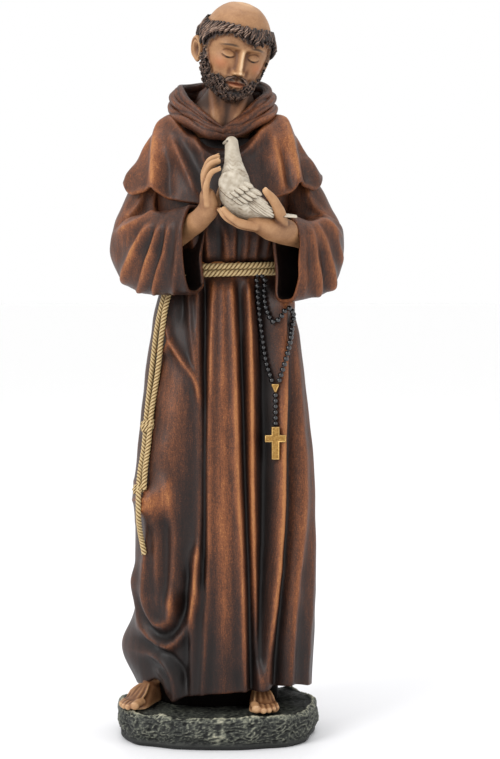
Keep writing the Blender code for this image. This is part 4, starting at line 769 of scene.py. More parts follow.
def sleeve_grids(keys, rows, around):
    """A wide sleeve: ovals that turn with the arm at the elbow, down to the cuff, then lip and hollow."""
    table = [(share, *centre, *across, *tall) for share, centre, across, tall in keys]
    values = keyed(table, np.linspace(0, 1, rows))
    turn = full_turn(around, 0)
    power = 2 / np.linspace(2.0, CUFF_SQUARENESS, rows)[:, None]
    c = (np.sign(np.cos(turn)) * np.abs(np.cos(turn)) ** power)[..., None]
    s = (np.sign(np.sin(turn)) * np.abs(np.sin(turn)) ** power)[..., None]
    grid = values[:, None, 0:3] + values[:, None, 3:6] * s + values[:, None, 6:9] * c
    normal = outward(grid)
    facing = smooth_step(0.0, 0.4, -normal[..., 1])
    lift = fold_lift(grid[..., 0], grid[..., 2], SLEEVE_FOLDS) * facing
    lift += 0.35 * ripple(*np.moveaxis(grid, -1, 0), 15, SEED + 2)
    outer = smooth_step(0.1, 0.6, normal[..., 1])
    hang = np.abs(np.sin(grid[..., 0] * 0.16 + grid[..., 2] * 0.09))
    lift += outer * 2.6 * (0.6 - hang) * smooth_step(0, 0.4, np.linspace(0, 1, rows))[:, None]
    grid = grid + normal * lift[..., None]
    normal = outward(grid)
    forward = np.subtract(keys[-1][1], keys[-2][1])
    forward = unit(forward)
    edge, out = grid[-1], normal[-1]
    lip_rings = ((0.1, 0.5), (0.5, 0.8), (0.9, 0.5))
    lip = [edge - out * CLOTH_WALL * share + forward * reach for share, reach in lip_rings]
    inside = []
    for share in (0, 0.15, 0.3, 0.45, 0.6, 0.8, 1.0):
        inside.append(edge - out * CLOTH_WALL * (1 + 0.8 * share) - forward * SLEEVE_HOLLOW * share)
    return np.concatenate([grid, lip, inside])


def tube_grid(centre, radius, sides, flatten=1.0, up=(0.0, 1.0, 0.05)):
    """Circles of the given radii carried along a path of points."""
    tangent = unit(np.gradient(centre, axis=0))
    across = unit(np.cross(tangent, up))
    over = np.cross(across, tangent)
    turn = full_turn(sides, 0)
    ring = across[:, None, :] * np.cos(turn)[None, :, None]
    deep = np.broadcast_to(flatten, len(centre))[:, None, None]
    ring = ring + over[:, None, :] * np.sin(turn)[None, :, None] * deep
    return centre[:, None, :] + ring * np.broadcast_to(radius, len(centre))[:, None, None]


def limb_grid(points, radii, rows, sides, flatten=1.0, up=(0.0, 1.0, 0.05)):
    """A round-ended limb: ovals carried along a smooth line, their radius closing to nothing at both ends.

    Flatten is how deep each oval is for its width, one number or one for each point.
    """
    points = np.asarray(points, float)
    line = smooth_line(points, rows * 4)
    along, spans = line_lengths(line), line_lengths(points)
    places = spans if len(radii) == len(points) else np.linspace(0, spans[-1], len(radii))
    radius = np.interp(along / along[-1], places / spans[-1], radii)
    steps = (1 - np.cos(np.linspace(0.05, math.pi - 0.05, rows))) / 2 * along[-1]
    centre = np.column_stack([np.interp(steps, along, line[:, k]) for k in range(3)])
    size = np.interp(steps, along, radius)
    size *= np.sqrt(np.clip(1 - np.clip(1 - steps / radii[0], 0, 1) ** 2, 0.01, 1))
    size *= np.sqrt(np.clip(1 - np.clip(1 - (along[-1] - steps) / radii[-1], 0, 1) ** 2, 0.01, 1))
    depth = np.interp(steps / along[-1], spans / spans[-1], np.broadcast_to(flatten, len(points)))
    return tube_grid(centre, size, sides, depth, up)


def ball_grid(centre, half_sizes, rows, sides, turn=None):
    """An ellipsoid as rings from pole to pole, turned about its own centre."""
    lift = np.linspace(-math.pi / 2 + 0.06, math.pi / 2 - 0.06, rows)
    round_ = full_turn(sides, 0)
    x = np.cos(lift)[:, None] * np.cos(round_)[None, :]
    y = np.cos(lift)[:, None] * np.sin(round_)[None, :]
    z = np.repeat(np.sin(lift)[:, None], sides, axis=1)
    grid = np.stack([x, y, z], axis=-1) * np.asarray(half_sizes, float)
    if turn is not None:
        grid = grid @ np.array(turn).T
    return grid + np.asarray(centre, float)


def mesh_object(name, grids, material, looped=(), marks=None):
    """One object of closed forms, each a grid whose rows are rings; open ends close on a middle point.

    Marks, where given, are one grid of relief values for each form, from 0 in the hollows to 1 on the crests.
    """
    points, quads, fans, values, first = [], [], [], [], 0
    for number, grid in enumerate(grids):
        rows, around = grid.shape[:2]
        index = first + np.arange(rows * around).reshape(rows, around)
        closed = number in looped
        above = index if closed else index[:-1]
        below = np.roll(index, -1, axis=0) if closed else index[1:]
        corners = [above, np.roll(above, -1, 1), np.roll(below, -1, 1), below]
        quads.append(np.stack(corners, axis=-1).reshape(-1, 4))
        points.append(grid.reshape(-1, 3))
        first += rows * around
        if marks is not None:
            values.append(np.broadcast_to(marks[number], (rows, around)).ravel())
        if not closed:
            points.append(np.array([grid[0].mean(axis=0), grid[-1].mean(axis=0)]))
            if marks is not None:
                values.append(values[-1][[0, -1]])
            ring, last = index[0], index[-1]
            fans.append(np.column_stack([np.roll(ring, -1), ring, np.full(around, first)]))
            fans.append(np.column_stack([last, np.roll(last, -1), np.full(around, first + 1)]))
            first += 2
    points = np.concatenate(points) * UNIT + [0, 0, SOLE_HEIGHT]
    quads = np.concatenate(quads)
    loops = quads.reshape(-1)
    sizes = np.full(len(quads), 4)
    if fans:
        fans = np.concatenate(fans)
        loops = np.concatenate([loops, fans.reshape(-1)])
        sizes = np.concatenate([sizes, np.full(len(fans), 3)])
    made = raw_object(name, points, loops, sizes, material)
    if marks is not None:
        set_attribute(made, "relief", np.concatenate(values))
    return made


def raw_object(name, points, loops, sizes, material, smooth=True):
    """Makes an object from whole arrays of points, corners and face sizes, faces pointing outwards."""
    mesh = bpy.data.meshes.new(name)
    mesh.vertices.add(len(points))
    mesh.vertices.foreach_set("co", np.asarray(points, np.float32).ravel())
    mesh.loops.add(len(loops))
    mesh.loops.foreach_set("vertex_index", np.asarray(loops, np.int32))
    mesh.polygons.add(len(sizes))
    mesh.polygons.foreach_set("loop_start", np.concatenate([[0], np.cumsum(sizes)[:-1]]).astype(np.int32))
    mesh.update(calc_edges=True)
    mesh.validate()
    made = bpy.data.objects.new(name, mesh)
    bpy.context.scene.collection.objects.link(made)
    mesh.materials.append(material)
    face_out(made)
    if smooth:
        mesh.shade_smooth()
    return made


def face_out(made):
    """Turns every closed form's faces outwards."""
    work = bmesh.new()
    work.from_mesh(made.data)
    bmesh.ops.recalc_face_normals(work, faces=work.faces)
    work.to_mesh(made.data)
    work.free()


def one_skin(made, grain, smoothing=8):
    """Joins an object's overlapping forms into one skin of the given grain and softens the joins."""
    material = made.data.materials[0]
    made.modifiers.new("one skin", "REMESH").voxel_size = grain * UNIT
    soften = made.modifiers.new("soften", "SMOOTH")
    soften.factor, soften.iterations = 0.5, smoothing
    graph = bpy.context.evaluated_depsgraph_get()
    old, made.data = made.data, bpy.data.meshes.new_from_object(made.evaluated_get(graph))
    bpy.data.meshes.remove(old)
    made.modifiers.clear()
    made.data.materials.clear()
    made.data.materials.append(material)
    made.data.shade_smooth()


def mesh_points(made):
    """An object's vertices in figure units, with heights from the soles."""
    points = np.empty(len(made.data.vertices) * 3, np.float32)
    made.data.vertices.foreach_get("co", points)
    return (points.reshape(-1, 3).astype(float) - [0, 0, SOLE_HEIGHT]) / UNIT


def mesh_normals(made):
    """An object's vertex normals."""
    normals = np.empty(len(made.data.vertices) * 3, np.float32)
    made.data.vertices.foreach_get("normal", normals)
    return normals.reshape(-1, 3).astype(float)


def set_attribute(made, name, values):
    """Stores one number per vertex for the materials."""
    store = made.data.attributes.get(name) or made.data.attributes.new(name, "FLOAT", "POINT")
    store.data.foreach_set("value", np.asarray(values, np.float32))


def stored(made, name):
    """The numbers stored per vertex under a name."""
    values = np.empty(len(made.data.vertices), np.float32)
    made.data.attributes[name].data.foreach_get("value", values)
    return values


def neighbour_mean(values, edges, counts):
    """Mean of each vertex's neighbours, column by column."""
    total = np.empty_like(values)
    for k in range(values.shape[1]):
        total[:, k] = np.bincount(edges[:, 0], values[edges[:, 1], k], len(values))
        total[:, k] += np.bincount(edges[:, 1], values[edges[:, 0], k], len(values))
    return total / counts


def paint_relief(made, reach=14, scale=1.0, middle=50):
    """Stores how far each vertex stands out of (0.5 to 1) or into (0.5 to 0) its smoothed surroundings.

    The value 0.5 falls on the given percentile, so a piece that is all crests still gets its dark hollows.
    """
    points, normals = mesh_points(made), mesh_normals(made)
    edges = np.empty(len(made.data.edges) * 2, np.int32)
    made.data.edges.foreach_get("vertices", edges)
    edges = edges.reshape(-1, 2)
    counts = np.maximum(np.bincount(edges.ravel(), minlength=len(points)), 1)[:, None]
    smooth = points.copy()
    for _ in range(reach):
        smooth = (smooth + neighbour_mean(smooth, edges, counts)) / 2
    near = ((points - smooth) * normals).sum(1)
    for _ in range(reach * 4):
        smooth = (smooth + neighbour_mean(smooth, edges, counts)) / 2
    wide = ((points - smooth) * normals).sum(1)
    value = near * 0.6 + wide * 0.6
    set_attribute(made, "relief", np.clip(0.5 + (value - np.percentile(value, middle)) / scale, 0, 1))


def on_head(points):
    """Points about the head's centre, turned and put in their place."""
    turned = Euler((math.radians(HEAD_PITCH), math.radians(HEAD_ROLL), math.radians(HEAD_YAW)), "XYZ")
    return points @ np.array(turned.to_matrix()).T + HEAD_CENTRE


def hair_edges(degrees):
    """Heights of the fringe's upper and lower edge and the beard's upper edge, by degrees from the front."""
    away = np.abs(degrees)
    top, low, beard = (keyed(edge, away)[..., 0] for edge in (FRINGE_TOP, FRINGE_LOW, BEARD_TOP))
    low = low - 3.2 * bell(degrees - 14, 15) + 0.8 * bell(degrees + 20, 14)
    return top, low, beard


def head_surface(angle, z):
    """The bare head by angle from the front and height: ovals with the face's forms pushed out of them."""
    half_width, front, back = np.moveaxis(keyed(HEAD, z), -1, 0)
    s, c = np.sin(angle), np.cos(angle)
    x = half_width * np.sign(s) * np.abs(s) ** 0.92
    y = np.where(c > 0, -front * np.abs(c) ** 0.92, back * np.abs(c) ** 0.92)
    push = np.zeros_like(x)
    for at, height, spread, tall, out in FACE_FORMS:
        push += out * bell(np.abs(x) - at, spread, 2.2) * bell(z - height, tall, 2.2)
    side = (np.abs(x) - EYE_X) / EYE_HALF_WIDTH
    lid = bell(side, 1.0, 6) * (c > 0)
    lash = LASH_HEIGHT + 0.9 * side**2
    push += lid * 0.55 * smooth_step(-0.15, 0.15, z - lash) * smooth_step(3.2, 0.4, z - lash)
    push -= lid * 0.5 * smooth_step(0.1, -0.1, z - lash) * smooth_step(-EYE_SLIT - 0.35, -EYE_SLIT, z - lash)
    crease = 2.0 - 1.3 * side**2
    push += lid * -0.6 * bell(z - crease, 0.6)
    return np.stack([x, y - push * smooth_step(0.12, 0.55, c), z], axis=-1)


def head_grid(rows, around):
    """The head with the beds of hair and beard raised from it. Also each point's hair and bare place."""
    angle = full_turn(around)[None, :] * np.ones((rows, 1))
    z = np.linspace(HEAD[0][0], HEAD[-1][0], rows)[:, None] * np.ones(around)
    grid = head_surface(angle, z)
    away = np.degrees(np.abs(angle))
    top, low, beard_top = hair_edges(np.degrees(angle))
    jag = 0.8 * np.sin(31 * angle) + 0.5 * np.sin(53 * angle + 1)
    beard = smooth_step(0.8, -0.8, z - beard_top + 0.5 * jag) * smooth_step(105, 92, away)
    x = grid[..., 0]
    moustache = bell(np.abs(x) - 3.9, 4.2, 3) * bell(z + 14.2 + 0.16 * np.abs(x), 1.5, 3)
    moustache *= np.cos(angle) > 0
    hair = smooth_step(-0.8, 0.8, z - low + jag) * smooth_step(0.8, -0.8, z - top)
    out = 1.5 * beard + 1.1 * moustache + 1.8 * hair
    out += 0.7 * np.maximum(beard, moustache) * ripple(*np.moveaxis(grid, -1, 0), 3.0, SEED + 3)
    middle = np.stack([0 * x, 0 * x + 2.0, np.clip(z, -14, 12)], axis=-1)
    direction = unit(grid - middle)
    paint = np.clip(np.maximum(np.maximum(beard, moustache), hair), 0, 1)
    return on_head(grid + direction * out[..., None]), paint, grid


def lock_grid(path, radius, middle, bright, rows=9, sides=10, flatten=0.7):
    """One lock of hair: a flattened tube with strand grooves, from its root to a point. Also its relief.

    Middle is the point that the lock faces away from, and bright is added to the relief.
    """
    line = smooth_line(path, rows)
    share = np.linspace(0, 1, rows)
    size = radius * np.clip(np.sin(math.pi * (0.14 + 0.84 * share)), 0.06, 1) ** 0.75
    grid = tube_grid(line, size, sides, flatten, up=(0.05, 0.1, 1.0))
    strands = np.cos(np.arange(sides) * math.pi)
    grid = line[:, None, :] + (grid - line[:, None, :]) * (1 + 0.12 * strands)[None, :, None]
    away = unit(line - middle)
    stands = ((grid - line[:, None, :]) * away[:, None, :]).sum(-1) / np.maximum(size, 0.05)[:, None]
    along = 1 - 0.35 * np.abs(2 * share[:, None] - 0.9) ** 2
    return on_head(grid), bright + (0.06 + 0.62 * np.clip(stands, -0.3, 1) + 0.18 * strands[None, :]) * along


def fringe_locks():
    """Wavy locks combed down from the tonsure's edge round the head, in three staggered layers."""
    draw = np.random.default_rng(SEED)
    locks = []
    for layer, count in enumerate(FRINGE_LOCKS):
        for number in range(count):
            angle = (number + 0.37 * layer + draw.uniform(-0.3, 0.3)) / count * 2 * math.pi - math.pi
            away = abs(math.degrees(angle))
            top, low, _ = (float(edge) for edge in hair_edges(np.degrees(np.array(angle))))
            start = top + 0.4 - layer * (top - low) * 0.22 + draw.uniform(-0.5, 0.5)
            end = low + (2 - layer) * 0.9 - draw.uniform(0.0, 1.2)
            stations = np.linspace(0, 1, 7)
            wave = 0.028 * np.sin(2 * math.pi * stations * draw.uniform(0.7, 0.95) + draw.uniform(0, 2.0))
            sweep = (0.12 * math.sin(angle) * (away < 80) + draw.uniform(-0.03, 0.03)) * stations
            heights = start + (end - start) * stations
            bare = head_surface(angle + sweep + wave, heights)
            lift = (1.5 + 0.75 * layer) * np.sin(math.pi * (0.10 + 0.72 * stations)) ** 0.6 + 0.5
            push = unit(bare - [0, 2.0, 2.0])
            radius, bright = draw.uniform(1.15, 1.6), draw.uniform(-0.12, 0.16)
            locks.append(lock_grid(bare + push * lift[:, None], radius, (0, 2, 2), bright, 12))
    return locks


def beard_locks():
    """Short curls over the jaw, the chin and the upper lip, each a hooked lock that follows the face."""
    draw = np.random.default_rng(SEED + 4)
    locks = []
    for _ in range(BEARD_CURLS):
        angle = draw.uniform(-1.62, 1.62)
        away = abs(math.degrees(angle))
        _, _, top = (float(edge) for edge in hair_edges(np.array(away)))
        height = draw.uniform(-28.5, top)
        if height < -26.5 and away > 35:
            continue
        hook = draw.uniform(0.05, 0.14) * draw.choice([-1, 1])
        stations = np.linspace(0, 1, 5)
        turns = angle + hook * np.sin(math.pi * stations * 0.9)
        heights = np.maximum(height - draw.uniform(2.2, 3.6) * stations, -29.0)
        bare = head_surface(turns, heights)
        push = unit(bare - [0, 2.0, -10.0])
        lift = 1.3 + 0.9 * np.sin(math.pi * stations)
        radius, bright = draw.uniform(0.6, 0.9), draw.uniform(-0.15, 0.1)
        locks.append(lock_grid(bare + push * lift[:, None], radius, (0, 2, -10), bright, 8, 8))
    for side in (-1, 1):
        for share in np.linspace(0, 1, MOUSTACHE_STRANDS):
            root = np.array([0.6 + 4.2 * share, -12.6 - 0.8 * share])
            tip = np.array([4.4 + 3.6 * share, -14.8 - 4.2 * share])
            stations = np.linspace(0, 1, 5)[:, None]
            line = root + (tip - root) * stations
            line[:, 1] += 0.7 * np.sin(math.pi * stations[:, 0])
            turns = side * np.arcsin(np.clip(line[:, 0] / 17.0, -1, 1))
            bare = head_surface(turns, line[:, 1])
            locks.append(lock_grid(bare + [0, -1.3, 0], 0.85, (0, 2, -10), -0.05, 9, 8))
    return locks


def ear_grids():
    """Two ears: a flat shell with a raised rim and a hollow, and a lobe."""
    ears = []
    for side in (-1, 1):
        turn = Euler((math.radians(-12), math.radians(side * 8), math.radians(side * -24)), "XYZ").to_matrix()
        shell = ball_grid((0, 0, 0), (2.0, 4.8, 8.2), 40, 56)
        radius = np.hypot(shell[..., 1] / 4.8, shell[..., 2] / 8.2)
        outer = side * shell[..., 0] > 0
        hollow = np.hypot((shell[..., 1] + 0.6) / 2.7, (shell[..., 2] + 1.2) / 3.6)
        upper = smooth_step(-3.0, 1.0, shell[..., 2])
        fold = bell(radius - 0.58, 0.10) * upper * smooth_step(-2.6, -0.4, shell[..., 1])
        rim = bell(radius - 0.88, 0.13) * (0.35 + 0.65 * smooth_step(-6.5, -3.5, shell[..., 2]))
        sunk = 0.9 * bell(radius, 0.72, 4) * upper + 2.4 * bell(hollow, 1.0, 4)
        shell[..., 0] += side * outer * (1.2 * rim + 0.8 * fold - sunk)
        shell[..., 1] *= 1 - 0.22 * smooth_step(-1.0, -8.0, shell[..., 2])
        ears.append(on_head(shell @ np.array(turn).T + [side * 22.0, 4.4, -5.0]))
    return ears


def rope_grids(path, radius, pitch, plies=3, sides=9):
    """A laid rope: plies that wind round the path at the given pitch. Also each point's relief value."""
    along = line_lengths(path)
    tangent = unit(np.gradient(path, axis=0))
    across = unit(np.cross(tangent, [0.0, 1.0, 0.05]))
    over = np.cross(across, tangent)
    grids, marks = [], []
    for ply in range(plies):
        turn = 2 * math.pi * (along / pitch + ply / plies)
        centre = path + (across * np.cos(turn)[:, None] + over * np.sin(turn)[:, None]) * radius * 0.53
        grid = tube_grid(centre, radius * 0.48, sides)
        away = np.linalg.norm(grid - path[:, None, :], axis=-1)
        grids.append(grid)
        marks.append(smooth_step(0.62 * radius, 1.0 * radius, away))
    return grids, marks


def front_of(surface, x, z, spread):
    """How far forward a round thing of radius spread sits on a surface, looking back along the front view."""
    reach = []
    for share in (0.0, 0.6, 1.0):
        for turn in full_turn(8, 0):
            off = share * spread
            start = (x + off * math.cos(turn), -200.0, z + off * math.sin(turn))
            hit = surface.ray_cast(Vector(start), Vector((0, 1, 0)))[0]
            if hit is not None:
                reach.append(hit.y - spread * math.sqrt(1 - share**2))
    return min(reach) if reach else 0.0


def laid_line(surface, flat_line, count, radius, ease):
    """A front-view line laid on a surface: a path that stands radius off it and evens out within ease."""
    line = smooth_line(flat_line, count)
    depth = np.array([front_of(surface, x, z, radius) for x, z in line])
    step = np.linalg.norm(np.diff(line, axis=0), axis=1).mean()
    reach = max(1, int(round(ease / step)))
    padded = np.pad(depth, 2 * reach, mode="edge")
    low = np.array([padded[i : i + 2 * reach + 1].min() for i in range(len(depth) + 2 * reach)])
    even = np.array([low[i : i + 2 * reach + 1].mean() for i in range(len(depth))])
    return np.column_stack([line[:, 0], even, line[:, 1]])


def surface_of(*objects):
    """What the pieces that lie on the cloth are laid on: the objects' faces, in figure units."""
    points, faces, first = [], [], 0
    for made in objects:
        own = mesh_points(made)
        points.append(own)
        faces += [[first + v for v in p.vertices] for p in made.data.polygons]
        first += len(own)
    return BVHTree.FromPolygons(np.concatenate(points).tolist(), faces)


def feather_grid(root, tip, half_width, normal, lift, camber=0.5, rows=14, across=8):
    """One feather: a thin leaf with a raised shaft, from root to rounded tip. Also its relief values."""
    root, tip, normal = (np.asarray(v, float) for v in (root, tip, normal))
    along = tip - root
    side = unit(np.cross(along, normal))
    normal = unit(np.cross(side, along))
    share = 1 - (1 - np.linspace(0.0, 1.0, rows)) ** 1.5
    rounding = np.sqrt(np.clip(1 - np.clip((share - 0.62) / 0.38, 0, 1) ** 2, 0.01, 1))
    width = half_width * rounding * (0.6 + 0.4 * share**0.5)
    turn = full_turn(2 * across, 0)
    flat, thick = np.cos(turn), np.sin(turn)
    above = thick > 0
    crown = 0.14 * half_width * bell(flat, 0.16) * above
    barbs = 0.02 * half_width * np.sin(share[:, None] * 44 + np.abs(flat)[None, :] * 5) * above
    height = thick * 0.16 * half_width + crown + barbs - camber * flat**2 * 0.7
    centre = root + along * share[:, None] + normal * (lift * np.sin(math.pi * share * 0.5))[:, None]
    grid = centre[:, None, :] + side * (width[:, None] * flat)[..., None] + normal * height[..., None]
    edge = bell(1 - np.abs(flat), 0.16)[None, :] * above
    mark = 0.66 - 0.42 * edge + 0.14 * bell(flat, 0.15)[None, :] + barbs * 1.5
    # Painted shade: each feather darkens towards its root, where the row above covers it
    mark = mark * (0.70 + 0.30 * smooth_step(0.12, 0.5, share))[:, None]
    return grid, np.where(above, mark, 0.15)


def dove_grids():
    """The dove's body lofted from crown to rump, its beak and the wing's shoulder. Also their relief."""
    points = np.array([place for place, tall, thick in DOVE_BODY], float)
    tall = [row[1] for row in DOVE_BODY]
    thick = [row[2] for row in DOVE_BODY]
    body = limb_grid(points, tall, DOVE_ROWS, DOVE_AROUND)
    centre = body.mean(axis=1, keepdims=True)
    share = line_lengths(points) / line_lengths(points)[-1]
    reach = (1 - np.cos(np.linspace(0.05, math.pi - 0.05, DOVE_ROWS))) / 2
    flat = np.interp(reach, share, np.divide(thick, tall))
    full = np.ones(DOVE_ROWS)
    body = centre + (body - centre) * np.stack([full, flat, full], axis=1)[:, None, :]
    x, y, z = np.moveaxis(body, -1, 0)
    ruffle = np.abs(np.sin(z * 1.5 + 1.6 * np.sin(x * 0.9) + 0.8 * np.sin(y * 1.3))) ** 0.6
    soft = smooth_step(342, 330, z)
    normal = outward(body)
    body = body + normal * (0.22 * (ruffle - 0.6) * soft)[..., None]
    body_mark = 0.62 + 0.30 * (ruffle - 0.7) * soft + 0.10 * ripple(x, y, z, 6.0, SEED + 5)
    beak = limb_grid(DOVE_BEAK, (1.7, 1.05, 0.5), 16, 14)
    tilt = Euler((0, math.radians(37), 0)).to_matrix()
    shoulder = ball_grid(wing_place(3.0, 0.4, -1.6), (8.6, 3.4, 7.6), 30, 44, tilt)
    shoulder_mark = 0.66 + 0.14 * ripple(*np.moveaxis(shoulder, -1, 0), 4.0, SEED + 6)
    return [body, beak, shoulder], [body_mark, 0.5, shoulder_mark]


def wing_place(along, across, raised):
    """A point on the near wing, which bulges forward and bends back towards its edges."""
    x = WING_SHOULDER[0] + along * WING_WAY[0] - across * WING_WAY[1]
    z = WING_SHOULDER[1] + along * WING_WAY[1] + across * WING_WAY[0]
    return np.array([x, -69.2 - raised + 0.05 * across**2 + 0.07 * max(along - 14, 0), z])


def wing_feathers():
    """Three overlapping rows on the near wing, the far wing's tip and the tail fan."""
    feathers = []
    for raised, length, half_width, tips in WING_ROWS:
        for number, (along, across) in enumerate(tips):
            tip = wing_place(along, across, raised - 0.12 * number)
            root = wing_place(along - length, across * 0.85 - 0.4, raised - 0.7 - 0.12 * number)
            feathers.append(feather_grid(root, tip, half_width, (0.25, -1.0, 0.35), 0.5, 0.3 * half_width))
    for share in np.linspace(0, 1, 3):
        root, tip = (16 + 2 * share, -54.5, 316 - 4 * share), (33 + 1.5 * share, -56 - share, 307 - 3 * share)
        feathers.append(feather_grid(root, tip, 2.2, (0.2, 1, 0.4), 0.8, 0.5))
    first_root, last_root, first_tip, last_tip = (np.array(end) for end in TAIL)
    for share in np.linspace(0, 1, 5):
        root, tip = first_root + (last_root - first_root) * share, first_tip + (last_tip - first_tip) * share
        feathers.append(feather_grid(root, tip, 1.9, (0.1, -0.35, 1), 0.4, 0.42))
    return feathers


def foot_place(side):
    """A function from (ahead of the ball, across the foot, height) to a point, and the foot's directions."""
    ankle, ball = (np.array(p, float) for p in FEET[side])
    forward = unit(ball - ankle)
    across = np.array([forward[1], -forward[0]]) * side

    def at(ahead, aside, height):
        """A point of the foot in figure units."""
        return np.append(ball + forward * ahead + across * aside, height)

    return at, np.append(forward, 0), np.append(across, 0)


def foot_grids(side):
    """One bare foot: a lofted sole, heel and instep, the ankle and its knobs, tendons, five jointed toes."""
    at, forward, across = foot_place(side)
    upright = (0.05, 0.0, 1.0)
    ahead = np.linspace(FOOT[0][0], FOOT[-1][0], 60)
    half_width, height = np.moveaxis(keyed(FOOT, ahead), -1, 0)
    turn = full_turn(48, 0)
    c, s = np.cos(turn), np.sin(turn)
    aside = half_width[:, None] * np.sign(c) * np.abs(c) ** 0.9
    tall = np.where(s > 0, height[:, None] * np.abs(s), SOLE_LEVEL)
    sole = at(0, 0, 0) + forward * ahead[:, None, None] + across * aside[..., None]
    sole = sole + np.array([0, 0, 1.0]) * tall[..., None]
    grids = [
        sole,
        limb_grid((at(-28, 0, 27), at(-24, 0, 16), at(-18, 0, 8)), (5.0, 5.4, 6.0), 34, 32),
        ball_grid(at(-21.5, 4.8, 13.5), (2.2, 2.4, 2.6), 14, 18),
        ball_grid(at(-22.5, -4.8, 11.5), (2.2, 2.4, 2.6), 14, 18),
    ]
    for aside, root, reach, size in TOES:
        middle = at(root + reach * 0.42, aside, size + 1.7)
        points = (at(root - 4, aside, size + 1.2), middle, at(root + reach, aside, size * 0.95))
        radii = [size * swell for swell in TOE_SWELLS]
        grids.append(limb_grid(points, radii, 30, 22, 0.92, upright))
        tendon = (at(-14, aside * 0.45, 12.2), at(-6, aside * 0.8, 8.2), at(root - 1, aside, size * 2))
        grids.append(limb_grid(tendon, (0.5, 0.8, 0.7), 24, 12))
    return grids


def toe_tips(side):
    """Where each toe ends, which way it points, and its radius there."""
    at, forward, _ = foot_place(side)
    return [(at(root + reach, aside, size * 1.05), forward, size) for aside, root, reach, size in TOES]


def rock_object(material):
    """The rock: a rounded slab with a flat underside, its wall and top broken by layered ripples and pits."""
    around, wall_rows = ROCK_AROUND, ROCK_WALL_ROWS
    angle = full_turn(around)
    swell = 1 + 0.018 * np.sin(3 * angle + 0.6) + 0.014 * np.sin(7 * angle + 2.0) + 0.008 * np.sin(13 * angle)
    share = np.linspace(0, 1, wall_rows)
    inset = keyed(ROCK_INSET, share)[:, 0]
    width, depth, height = BASE_SIZE
    x, y = oval(angle[None, :], width / 2 - inset[:, None], depth / 2 - inset[:, None], 2.7)
    wall = np.stack([x * swell, y * swell, np.repeat(share[:, None] * height, around, axis=1)], axis=-1)
    inwards = 1 - np.linspace(0, 1, ROCK_TOP_ROWS + 1)[1:, None, None] * 0.985
    top = wall[-1][None] * [1, 1, 0] * inwards + [0, 0, height]
    grid = np.concatenate([wall, top])
    normal = outward(grid)
    normal[wall_rows:] = (0, 0, 1)
    gx, gy, gz = np.moveaxis(grid, -1, 0)
    places = np.stack([gx, gy, gz * 1.6], axis=-1).reshape(-1, 3)
    seed_set(SEED)
    swirl = np.array([list(turbulence_vector(Vector(p) / 19.0, 3, False)) for p in places])
    bent = places / 4.0 + swirl * 1.0
    crests = np.array([ridged_multi_fractal(Vector(p), 0.9, 2.1, 4, 1.0, 2.0) for p in bent])
    crests = crests.reshape(gx.shape)
    pits = np.array([voronoi(Vector(p) / 5.2)[0][0] for p in places]).reshape(gx.shape)
    rough = 1.0 * (crests - np.median(crests)) + 1.5 * ripple(gx, gy, gz, 17, SEED + 9)
    rough -= 1.1 * smooth_step(0.34, 0.12, pits)
    plain = np.ones(grid.shape[:2])
    plain[:wall_rows] = smooth_step(0.13, 0.24, share)[:, None]
    edge = np.zeros(grid.shape[:2])
    edge[:wall_rows] = 1
    edge[wall_rows:] = 0.55
    lift = rough * plain * edge * 0.8
    lift = np.where(edge < 1, np.minimum(lift * 0.8, 0.7) - 0.7, lift)
    grid = grid + normal * lift[..., None]
    grid[0, :, 2] = 0
    grid = grid + [0, BASE_CENTRE_Y, -SOLE_HEIGHT / UNIT]
    return mesh_object("rock_base_stone", [grid], material)


def bevelled_plate(outline, thickness, place, rise=0.55, inset=0.9):
    """A cast plate standing upright: its outline, a bevel to a smaller face in front, and a flat back."""
    outline = np.asarray(outline, float)
    before, after = np.roll(outline, 1, axis=0), np.roll(outline, -1, axis=0)
    edge_in, edge_out = unit(outline - before), unit(after - outline)
    left_in = np.stack([-edge_in[:, 1], edge_in[:, 0]], 1)
    left_out = np.stack([-edge_out[:, 1], edge_out[:, 0]], 1)
    mitre = left_in + left_out
    mitre /= (1 + (left_in * left_out).sum(1))[:, None]
    half = thickness / 2

    def ring(shrink, y):
        """The outline drawn in by some amount, at a depth."""
        flat = outline + mitre * shrink
        return np.column_stack([flat[:, 0], np.full(len(flat), y), flat[:, 1]]) + place

    rings = [ring(0.12, half), ring(0, half * 0.8), ring(0, -half * 0.35), ring(inset * 0.3, -half * 0.9)]
    rings += [ring(inset * 0.62, -half * 1.0), ring(inset * 0.8, -half * rise), ring(inset, -half * rise)]
    return np.stack(rings)


def cross_outline():
    """The cross seen from the front, its arms set a third of its height from the top."""
    bar, half, top, bottom = CROSS_BAR / 2, CROSS_SIZE[0] / 2, CROSS_SIZE[1] / 2, -CROSS_SIZE[1] / 2
    arm = top - CROSS_SIZE[1] * 0.36
    low, high = arm - bar * 0.9, arm + bar * 0.9
    right = [(bar, bottom), (bar, low), (half, low), (half, high), (bar, high), (bar, top)]
    return right + [(-x, z) for x, z in reversed(right)]


def medal_outline():
    """The centre medal: a triangle, point down, with blunt corners."""
    half, top, bottom = MEDAL_SIZE[0] / 2, MEDAL_SIZE[1] / 2, -MEDAL_SIZE[1] / 2
    blunt = MEDAL_SIZE[0] * 0.12
    right = [(blunt, bottom), (half, top - 2 * blunt), (half, top)]
    return right + [(-x, z) for x, z in reversed(right)]


